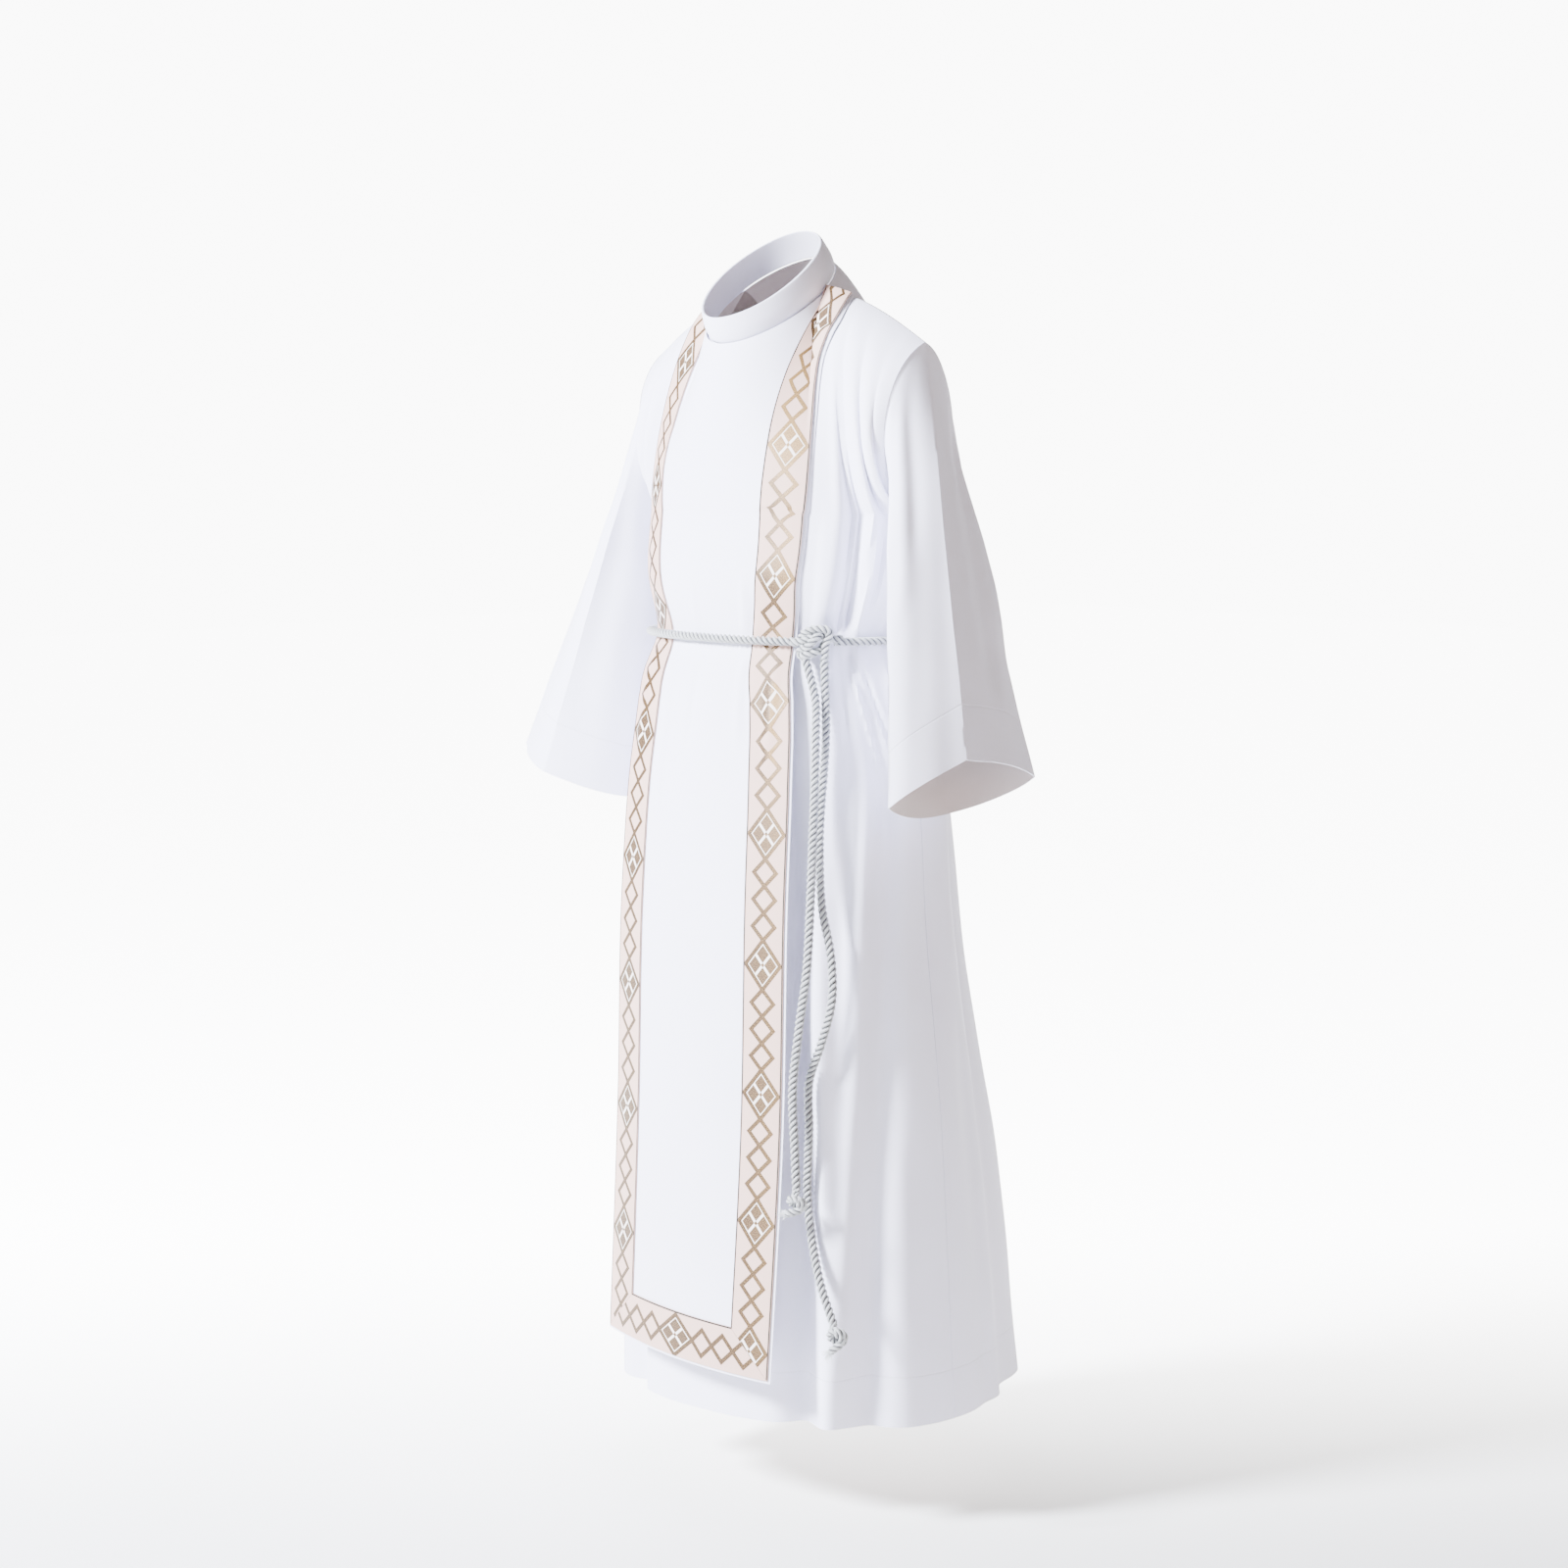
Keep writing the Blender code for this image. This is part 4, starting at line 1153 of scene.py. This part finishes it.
def stage_material(name, colour, glow):
    """Plain pale floor that glows behind the robe, painted light standing in for a lit studio sweep."""
    material, make, shader = start_material(name)[:3]
    spot = make.add("ShaderNodeTexCoord").outputs["Object"]
    cloud = make.noise(spot, 0.7)
    make.put(shader.inputs["Base Color"], make.mix(cloud, shade_of(colour, 0.985), shade_of(colour)))
    x, y = make.axes(spot)[:2]
    turn = math.radians(CAMERA_TURN)
    behind = make.plus(make.times(x, -math.sin(turn)), make.times(y, math.cos(turn)))
    aside = make.plus(make.times(x, math.cos(turn)), make.times(y, math.sin(turn)))
    reach = make.math("MULTIPLY_ADD", behind, GLOW_SPREAD, GLOW_SPREAD * CAMERA_FAR + GLOW_ASIDE)
    near = make.below(make.size(aside), reach, GLOW_ASIDE)
    # Painted light: the floor glows more the further it lies behind the robe and the nearer to the camera's
    # line.
    lift = make.times(make.rest(make.below(behind, GLOW_START, GLOW_SOFT)), near)
    make.put(shader.inputs["Emission Strength"], make.times(lift, glow))
    set_values(shader, ("Emission Color", (1.0, 1.0, 1.0, 1.0)), ("Roughness", 0.9),
               ("Specular IOR Level", 0.1))
    return material


def height_rows(low, join, counts, top):
    """Heights from a lower edge, past the belt and the chest, to a rise above the armpits."""
    parts = (
        np.linspace(low, join, counts[0]),
        np.linspace(join, CHEST_Z, counts[1])[1:],
        np.linspace(CHEST_Z, ARMPIT_Z, CHEST_ROWS)[1:],
        ARMPIT_Z + np.linspace(0.0, top, counts[2])[1:],
    )
    return [float(z) for z in np.concatenate(parts)]


def place_piece(obj, node=None):
    """Put a piece on the one rigid body and the solid that it stands for."""
    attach(obj, "root")
    if node:
        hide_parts(node)


def flat_places(points):
    """Metres across from the middle column and metres up from the first row."""
    u = spans(points, 1)
    return u - u[:, u.shape[1] // 2][:, None], spans(points, 0)


def round_places(points):
    """Metres round a closed grid, with its seam column twice, and metres up from the first row."""
    return spans(np.concatenate([points, points[:, :1]], axis=1), 1), spans(points, 0)


def body_columns():
    """Shares across the cloth, from the right armhole edge to the left one."""
    side = np.linspace(NECK_SHARE, 1.0, BODY_COLUMNS_SIDE)[1:]
    middle = np.linspace(-NECK_SHARE, NECK_SHARE, BODY_COLUMNS_NECK)
    return [float(share) for share in np.concatenate([-side[::-1], middle, side])]


def make_body(name, node, back, material, inside_shade):
    """Front or back of the alb."""
    heights = height_rows(HEM_Z, -0.44, (BODY_ROWS_LOW, BODY_ROWS_BELT, BODY_ROWS_YOKE), 1.0)
    shares = body_columns()
    if back:
        shares = shares[::-1]
    points = np.array([[body_point(share, height, back) for share in shares] for height in heights])
    normals = grid_normals(points)
    for j, height in enumerate(heights):
        level = height if height <= ARMPIT_Z else ARMPIT_Z + (height - ARMPIT_Z) * YOKE_TALL
        hold = math.exp(-((level - BELT_Z) / 0.03) ** 2)
        near_top = 1.0 - ease((height - ARMPIT_Z - 0.75) / 0.2)
        for i, share in enumerate(shares):
            turn = share * 90.0 if not back else 180.0 - share * 90.0
            near_edge = 1.0 - ease((abs(share) - 0.90) / 0.10)
            points[j, i] += normals[j, i] * soft_wave(turn, level) * (1 - hold) * near_edge * near_top
    u, v = flat_places(points)
    obj = cloth_shell(name, points, CLOTH_THIN, material, u, v, inside_shade=inside_shade)
    place_piece(obj, node)


def make_sleeve(name, node, side, cuff, material, inside_shade):
    """One flared sleeve, from the armhole's loop to the four corners of its cuff."""
    count = SLEEVE_ROUND
    loop = armhole_loop(side, count)
    tops = [loop[k * count // 4] for k in range(4)]
    ends = [np.array(corner) for corner in cuff]
    centre_top = sum(loop) / count
    seam = np.array([side * SEAM_GAP, 0.0, 0.0])
    points = [[point + seam for point in loop]]
    for j in range(1, SLEEVE_ROWS):
        run = j / (SLEEVE_ROWS - 1)
        weight = ease(run / SLEEVE_BLEND)
        corners = [a + (b - a) * run for a, b in zip(tops, ends)]
        shift = sum(corners) / 4.0 - centre_top
        goal = corner_ring(corners, count)
        points.append([(a + shift) * (1 - weight) + b * weight + seam for a, b in zip(loop, goal)])
    around = [k / count for k in range(count)]
    if side > 0:
        points = [row[::-1] for row in points]
        around = around[::-1]
    points = np.array(points[::-1])
    normals = grid_normals(points, closed=True)
    for j in range(SLEEVE_ROWS):
        run = 1.0 - j / (SLEEVE_ROWS - 1)
        for k in range(count):
            shift = row_height(SLEEVE_CREASES, around[k], -run, lap=1.0)
            shift += soft_wave(around[k] * 200.0, run * 0.5) * ease(run / 0.1)
            points[j, k] += normals[j, k] * shift
    normals = grid_normals(points, closed=True)
    for k in range(count):
        if normals[-1, k, 0] * side > 0:
            normals[-1, k, 0] = 0.0
            normals[-1, k] /= np.linalg.norm(normals[-1, k])
    u, v = round_places(points)
    obj = cloth_shell(name, points, CLOTH_THIN, material, u, v, closed=True, normals=normals, inside_shade=inside_shade)
    place_piece(obj, node)


def row_between(rows, where):
    """Smooth curve through the rows of a grid, at a place counted in rows."""
    low = int(min(where, len(rows) - 2))
    part = where - low
    before = rows[max(low - 1, 0)]
    a = rows[low]
    b = rows[low + 1]
    after = rows[min(low + 2, len(rows) - 1)]
    bend = 2 * before - 5 * a + 4 * b - after + part * (3 * (a - b) + after - before)
    return a + 0.5 * part * (b - before + part * bend)


def make_collar(material):
    """Folded standing band: outside, rolled top edge and inside."""
    lean = np.array(COLLAR_LEAN)
    start = neck_normal() * SEAM_GAP
    rows = []
    for rise, grow in COLLAR_PROFILE:
        line = []
        for k in range(COLLAR_ROUND):
            turn = 360.0 * k / COLLAR_ROUND
            angle = math.radians(turn)
            out = np.array([math.sin(angle), -math.cos(angle), 0.0])
            ripple = 0.0005 * math.sin(3 * angle + 1.0) * rise / COLLAR_TALL
            line.append(neck_point(turn) + start + lean * rise + out * (grow + ripple))
        rows.append(line)
    rows = np.array(rows)
    points = np.array([row_between(rows, where) for where in np.linspace(0, len(rows) - 1, COLLAR_ROWS)])
    u, v = round_places(points)
    obj = cloth_shell("robe_collar", points, COLLAR_THIN, material, u, v, closed=True)
    place_piece(obj, "collar")


def panel_rows():
    return height_rows(PANEL_LOW, -0.4, (PANEL_ROWS_LOW, PANEL_ROWS_BELT, PANEL_ROWS_YOKE), 0.998)


def make_panel(material):
    """Front panel, lying on the body at its edges above the belt and hanging free below it."""
    points = []
    for height in panel_rows():
        left, right = panel_edges(height)[::2]
        places = np.linspace(-right, left, PANEL_COLUMNS)
        points.append([panel_point(float(place), height) for place in places])
    points = np.array(points)
    u, v = flat_places(points)
    lift = np.full(points.shape[:2], PANEL_LIFT + PANEL_THIN)
    from_edge = np.minimum(u - u[:, :1], u[:, -1:] - u)
    for j, height in enumerate(panel_rows()):
        lying = ease((height - BELT_Z) / 0.05)
        for i in range(PANEL_COLUMNS):
            near = ease(1.0 - from_edge[j, i] / 0.0045)
            lift[j, i] -= (PANEL_LIFT - 0.0004) * near * lying
    obj = cloth_shell("robe_panel", points, PANEL_THIN, material, u, v, lift=lift)
    place_piece(obj, "panel")


def make_side_braid(name, node, side, material):
    """Braid along one side of the panel, cut slantwise at its foot."""
    fractions = np.linspace(PANEL_EDGE / BRAID_WIDE, 1.0, BRAID_COLUMNS)
    points = []
    for height in panel_rows():
        line = []
        for fraction in fractions:
            at = height
            if height < PANEL_LOW + MITRE_REACH:
                at += BRAID_WIDE * fraction * (1 - (height - PANEL_LOW) / MITRE_REACH) + MITRE_GAP
            line.append(panel_point(strip_place(at, float(fraction), side), at))
        points.append(line)
    points = np.array(points)
    if side > 0:
        points = points[:, ::-1]
    middle = points[:, BRAID_COLUMNS // 2]
    along = running_length(middle) + middle[0, 2] - PANEL_LOW
    ahead = np.gradient(middle, axis=0)
    ahead /= np.linalg.norm(ahead, axis=1, keepdims=True)
    offset = points - middle[:, None, :]
    forward = (offset * ahead[:, None, :]).sum(axis=2)
    sideways = np.linalg.norm(offset - forward[:, :, None] * ahead[:, None, :], axis=2)
    sideways[:, :BRAID_COLUMNS // 2] *= -1.0
    wide = sideways[:, -1:] - sideways[:, :1]
    centre = (sideways[:, -1:] + sideways[:, :1]) / 2
    u = (sideways - centre) / wide * BRAID_PATTERN_WIDE
    v = along[:, None] + forward
    obj = cloth_shell(name, points, BRAID_THIN, material, u, v, lift=BRAID_LIFT + BRAID_THIN)
    place_piece(obj, node)


def make_bottom_braid(material):
    """Braid along the foot of the panel, between the two side braids."""
    shares = np.linspace(-1.0, 1.0, BOTTOM_COLUMNS)
    points = []
    u = []
    v = []
    for fraction in np.linspace(PANEL_EDGE / BRAID_WIDE, 1.0, BRAID_COLUMNS):
        z = PANEL_LOW + BRAID_WIDE * float(fraction)
        half = panel_edges(z)[0] - BRAID_WIDE * float(fraction) - MITRE_GAP
        points.append([panel_point(float(share * half), z) for share in shares])
        u.append([(fraction - 0.5) * BRAID_PATTERN_WIDE] * len(shares))
        v.append([share * half for share in shares])
    grids = [np.array(rows) for rows in (points, u, v)]
    obj = cloth_shell("braid_bottom", grids[0], BRAID_THIN, material, grids[1], grids[2],
                      lift=BRAID_LIFT + BRAID_THIN)
    place_piece(obj, "trim_bottom")


def make_waist(material):
    """Turn of the rope round the waist."""
    path = even_path(belt_path(), ROPE_STEP)
    place_piece(rope_mesh("belt_waist", path, CORD_RADIUS, material, ROPE_PITCH), "cincture_waist")


def local_path(points, centre, across, up, out):
    """Millimetres across, up and out from one centre, as points in metres."""
    return [centre + across * a / 1000.0 + up * b / 1000.0 + out * c / 1000.0 for a, b, c in points]


def make_knot(material):
    """Knot of the belt: four pieces of rope that wrap over each other."""
    centre, out = belt_place(KNOT_TURN, KNOT_OUT)
    across = np.array([-out[1], out[0], 0.0])
    up = np.array([0.0, 0.0, 1.0])
    for k, wrap in enumerate(KNOT_WRAPS):
        path = even_path(local_path(wrap, centre, across, up, out), KNOT_STEP)
        piece = rope_mesh(f"belt_knot_{k + 1}", path, KNOT_CORD, material, ROPE_PITCH, start=0.7 * k)
        place_piece(piece, None if k else "cincture_knot")


def tuft_mesh(name, root, aim, material, seed):
    """Short frayed fibres spreading from the cut end of a cord."""
    rng = random.Random(seed)
    verts = []
    faces = []
    uvs = []
    side = np.cross(aim, np.array([0.0, 0.0, 1.0]))
    side /= np.linalg.norm(side)
    other = np.cross(aim, side)
    for _ in range(TUFT_COUNT):
        angle = rng.uniform(0, 2 * math.pi)
        far = math.sqrt(rng.uniform(0, 1)) * TUFT_RADIUS
        spread = rng.uniform(0.2, 0.75)
        out = side * math.cos(angle) + other * math.sin(angle)
        start = root + out * far
        reach = TUFT_LONG * rng.uniform(0.6, 1.0)
        droop = np.array([0.0, 0.0, -1.0]) * rng.uniform(0.0, 0.35)
        base = len(verts)
        for k in range(5):
            t = k / 4
            spot = start + (aim + out * spread * t + droop * t) * reach * t
            thick = FIBRE_RADIUS * (1 - 0.5 * t)
            for s in range(3):
                turn = 2 * math.pi * s / 3
                verts.append(spot + thick * (side * math.cos(turn) + other * math.sin(turn)))
        for k in range(4):
            for s in range(3):
                t = (s + 1) % 3
                low = base + 3 * k
                faces.append((low + s, low + t, low + 3 + t, low + 3 + s))
                u = (s * 0.0003, t * 0.0003)
                v = (k * 0.002, (k + 1) * 0.002)
                uvs += [(u[0], v[0]), (u[1], v[0]), (u[1], v[1]), (u[0], v[1])]
    return finish_mesh(name, verts, faces, uvs, material, 60.0)


def make_tail(name, table, materials, seed):
    """One hanging belt end: rope, its end knot and the frayed tuft."""
    cord_look, fibre_look = materials
    path = even_path(table, ROPE_STEP)
    tail = rope_mesh(f"belt_tail_{name}", path, CORD_RADIUS, cord_look, ROPE_PITCH, start=seed)
    down = path[-1] - path[-3]
    down /= np.linalg.norm(down)
    centre = path[-1] + down * END_DROP
    across = np.cross(down, np.array([0.0, -1.0, 0.0]))
    across /= np.linalg.norm(across)
    if across[0] < 0:
        across = -across
    out = np.cross(across, down)
    if out[1] > 0:
        out = -out
    knot_path = even_path(local_path(END_WRAP, centre, across, out, -down), KNOT_STEP)
    knot = rope_mesh(f"belt_end_{name}", knot_path, END_CORD, cord_look, ROPE_PITCH * 0.9, start=seed + 1.0)
    aim = knot_path[-1] - knot_path[-3]
    aim /= np.linalg.norm(aim)
    root = knot_path[-1] - aim * 0.0005
    tuft = tuft_mesh(f"belt_tuft_{name}", root, aim, fibre_look, int(seed * 10))
    place_piece(tail, f"tail_{name}")
    place_piece(knot, f"end_knot_{name}")
    place_piece(tuft)


def colour_setting(name, description, default):
    return FloatVectorProperty(name=name, description=description, subtype="COLOR", default=default,
                               min=0.0, max=1.0)


def share_setting(name, description, default):
    return FloatProperty(name=name, description=description, subtype="FACTOR", default=default,
                         min=0.0, max=1.0)


def pitch_setting(name, description, default, low):
    return FloatProperty(name=name, description=description, unit="LENGTH", default=default,
                         min=low, max=0.004)


def power_setting(name, description, default):
    return FloatProperty(name=name, description=description, unit="POWER", default=default, min=0.0)


def strength_setting(name, description, default):
    return FloatProperty(name=name, description=description, default=default, min=0.0)


class RobeSettings(bpy.types.PropertyGroup):
    cloth_colour: colour_setting("Cloth colour", "White of the alb and panel", (0.82, 0.81, 0.95))
    # Painted shade: the inside of the same white cloth, coloured darker, with a warm painted reflection.
    inside_shade_colour: colour_setting("Inside shade", "Inside of the cloth, seen in openings", (0.56, 0.49, 0.49))
    cloth_roughness: share_setting("Cloth roughness", "How matt the cloth is", 0.68)
    weave_pitch: pitch_setting("Weave pitch", "Distance between threads", 0.0007, 0.0002)
    weave_depth: share_setting("Weave depth", "Strength of the thread relief", 0.5)
    braid_ground: colour_setting("Braid ground", "Colour between the diamonds", (0.62, 0.42, 0.355))
    # Painted shade and painted highlight: one metal thread given a shaded and a lit colour.
    thread_dark: colour_setting("Thread in shade", "Metal thread out of the light", (0.04, 0.0215, 0.0125))
    thread_light: colour_setting("Thread in light", "Metal thread in the light", (0.66, 0.40, 0.15))
    border_colour: colour_setting("Braid border", "Fine line along each braid edge", (0.022, 0.016, 0.013))
    cord_colour: colour_setting("Cord colour", "Bright plies of the rope belt", (0.72, 0.74, 0.75))
    ply_pitch: pitch_setting("Ply pitch", "Distance between plies on a strand", 0.0012, 0.0004)
    key_power: power_setting("Key light", "Power of the key light", 1150.0)
    fill_power: power_setting("Fill light", "Power of the fill light", 42.0)
    world_strength: strength_setting("Surround", "Strength of the white surround", 0.18)
    backdrop_strength: strength_setting("Backdrop", "Strength of the white sweep behind", 10.0)


def add_lamp(name, spot, size, power, colour):
    """Round lamp aimed at the robe's middle."""
    data = bpy.data.lights.new(name, "AREA")
    data.shape = "DISK"
    data.size = size
    data.energy = power
    data.color = colour
    lamp = bpy.data.objects.new(name, data)
    lamp.location = spot
    lamp.rotation_mode = "QUATERNION"
    lamp.rotation_quaternion = (Vector(LAMP_AIM) - Vector(spot)).to_track_quat("-Z", "Y")
    bpy.context.scene.collection.objects.link(lamp)


def add_camera(toward, right):
    """Camera fitted to the photograph: toward points from the robe to it, right to its right."""
    data = bpy.data.cameras.new("camera")
    data.lens = CAMERA_LENS
    data.sensor_width = FILM_WIDE
    camera = bpy.data.objects.new("camera", data)
    camera.location = toward * CAMERA_FAR + right * CAMERA_SIDE + Vector((0.0, 0.0, CAMERA_Z))
    pitch = math.radians(CAMERA_PITCH)
    ahead = -toward * math.cos(pitch) + Vector((0.0, 0.0, -math.sin(pitch)))
    camera.rotation_mode = "QUATERNION"
    camera.rotation_quaternion = ahead.to_track_quat("-Z", "Y")
    bpy.context.scene.collection.objects.link(camera)
    bpy.context.scene.camera = camera


def add_surround(ahead, settings):
    """White world, far brighter in a cone ahead of the camera, as a studio sweep is."""
    world = bpy.data.worlds.new("surround")
    world.use_nodes = True
    make = NodeMaker(world.node_tree)
    back = world.node_tree.nodes["Background"]
    back.inputs["Color"].default_value = (1.0, 1.0, 1.0, 1.0)
    aim = make.add("ShaderNodeVectorMath", operation="DOT_PRODUCT")
    make.put(aim.inputs[0], make.add("ShaderNodeTexCoord").outputs["Generated"])
    make.put(aim.inputs[1], tuple(ahead))
    sweep = make.rest(make.below(aim.outputs["Value"], SWEEP_EDGE, SWEEP_SOFT))
    lit = make.math("MULTIPLY_ADD", sweep, settings.backdrop_strength, settings.world_strength)
    make.put(back.inputs["Strength"], lit)
    bpy.context.scene.world = world


def add_floor(glow):
    """Pale floor under the robe, glowing behind it as painted light."""
    mesh = bpy.data.meshes.new("floor")
    corners = [(FLOOR_HALF * x, FLOOR_HALF * y, FLOOR_Z) for x, y in ((-1, -1), (1, -1), (1, 1), (-1, 1))]
    mesh.from_pydata(corners, [], [(0, 1, 2, 3)])
    mesh.materials.append(stage_material("floor", FLOOR_COLOUR, glow))
    floor = bpy.data.objects.new("floor", mesh)
    bpy.context.scene.collection.objects.link(floor)
    return floor


class ROBE_OT_stage(bpy.types.Operator):
    """Sets the camera, the floor and the studio light"""
    bl_idname = "robe.stage"
    bl_label = "Stage"

    def execute(self, context):
        settings = context.scene.robe_settings
        turn = math.radians(CAMERA_TURN)
        toward = Vector((math.sin(turn), -math.cos(turn), 0.0))
        add_camera(toward, Vector((math.cos(turn), math.sin(turn), 0.0)))
        add_surround(-toward, settings)
        # The floor glows with the backdrop's strength, as painted light.
        floor = add_floor(settings.backdrop_strength)
        add_lamp("key", KEY_PLACE, KEY_SIZE, settings.key_power, KEY_COLOUR)
        add_lamp("fill", FILL_PLACE, FILL_SIZE, settings.fill_power, FILL_COLOUR)
        return {"FINISHED"}


class ROBE_OT_belt(bpy.types.Operator):
    """Builds the rope belt: waist turn, knot, hanging ends and their tufts"""
    bl_idname = "robe.belt"
    bl_label = "Rope belt"

    def execute(self, context):
        settings = context.scene.robe_settings
        cord_look = cord_material("cord", settings)
        fibre_look = fibre_material("cord fibres", settings)
        make_waist(cord_look)
        make_knot(cord_look)
        make_tail("left", TAIL_LEFT_PATH, (cord_look, fibre_look), 1.0)
        make_tail("right", TAIL_RIGHT_PATH, (cord_look, fibre_look), 2.0)
        return {"FINISHED"}


class ROBE_OT_body(bpy.types.Operator):
    """Builds the front and the back of the alb"""
    bl_idname = "robe.body"
    bl_label = "Front and back"

    def execute(self, context):
        settings = context.scene.robe_settings
        look = cloth_material("alb cloth", settings, row=HEM_ROW)
        # Painted shade for the inside of the front and back.
        inside_shade = cloth_material("shaded inside cloth", settings, colour=settings.inside_shade_colour)
        make_body("robe_front", "front", False, look, inside_shade)
        make_body("robe_back", "back", True, look, inside_shade)
        return {"FINISHED"}


class ROBE_OT_sleeves(bpy.types.Operator):
    """Builds both sleeves"""
    bl_idname = "robe.sleeves"
    bl_label = "Sleeves"

    def execute(self, context):
        settings = context.scene.robe_settings
        look = cloth_material("sleeve cloth", settings, row=CUFF_ROW)
        # Painted shade for the inside of the sleeves.
        inside_shade = cloth_material("shaded inside sleeve cloth", settings, colour=settings.inside_shade_colour)
        make_sleeve("robe_sleeve_left", "sleeve_left", 1.0, CUFF_LEFT, look, inside_shade)
        make_sleeve("robe_sleeve_right", "sleeve_right", -1.0, CUFF_RIGHT, look, inside_shade)
        return {"FINISHED"}


class ROBE_OT_collar(bpy.types.Operator):
    """Builds the folded standing collar"""
    bl_idname = "robe.collar"
    bl_label = "Collar"

    def execute(self, context):
        make_collar(cloth_material("collar cloth", context.scene.robe_settings))
        return {"FINISHED"}


class ROBE_OT_panel(bpy.types.Operator):
    """Builds the front panel and the braid along its edges"""
    bl_idname = "robe.panel"
    bl_label = "Panel and braid"

    def execute(self, context):
        settings = context.scene.robe_settings
        make_panel(cloth_material("panel cloth", settings))
        left_look = braid_material("braid left", settings, PHASE_LEFT)
        make_side_braid("braid_left", "trim_left", 1.0, left_look)
        right_look = braid_material("braid right", settings, PHASE_RIGHT)
        make_side_braid("braid_right", "trim_right", -1.0, right_look)
        make_bottom_braid(braid_material("braid bottom", settings, 0.0))
        return {"FINISHED"}


class ROBE_PT_panel(bpy.types.Panel):
    """Lists the robe's pieces and settings"""
    bl_label = "Communion robe"
    bl_space_type = "VIEW_3D"
    bl_region_type = "UI"
    bl_category = "Robe"

    def draw(self, context):
        for step in STEPS:
            self.layout.operator(step.bl_idname)
        for name in RobeSettings.__annotations__:
            self.layout.prop(context.scene.robe_settings, name)


STEPS = (ROBE_OT_stage, ROBE_OT_belt, ROBE_OT_body, ROBE_OT_sleeves, ROBE_OT_collar, ROBE_OT_panel)
CLASSES = (RobeSettings,) + STEPS + (ROBE_PT_panel,)


def register():
    for cls in CLASSES:
        bpy.utils.register_class(cls)
    bpy.types.Scene.robe_settings = PointerProperty(type=RobeSettings)


def unregister():
    del bpy.types.Scene.robe_settings
    for cls in reversed(CLASSES):
        bpy.utils.unregister_class(cls)


def main():
    register()
    make_groups()
    for step in (bpy.ops.robe.stage, bpy.ops.robe.belt, bpy.ops.robe.body, bpy.ops.robe.sleeves,
                 bpy.ops.robe.collar, bpy.ops.robe.panel):
        step()
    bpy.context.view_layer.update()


if __name__ == "__main__":
    main()
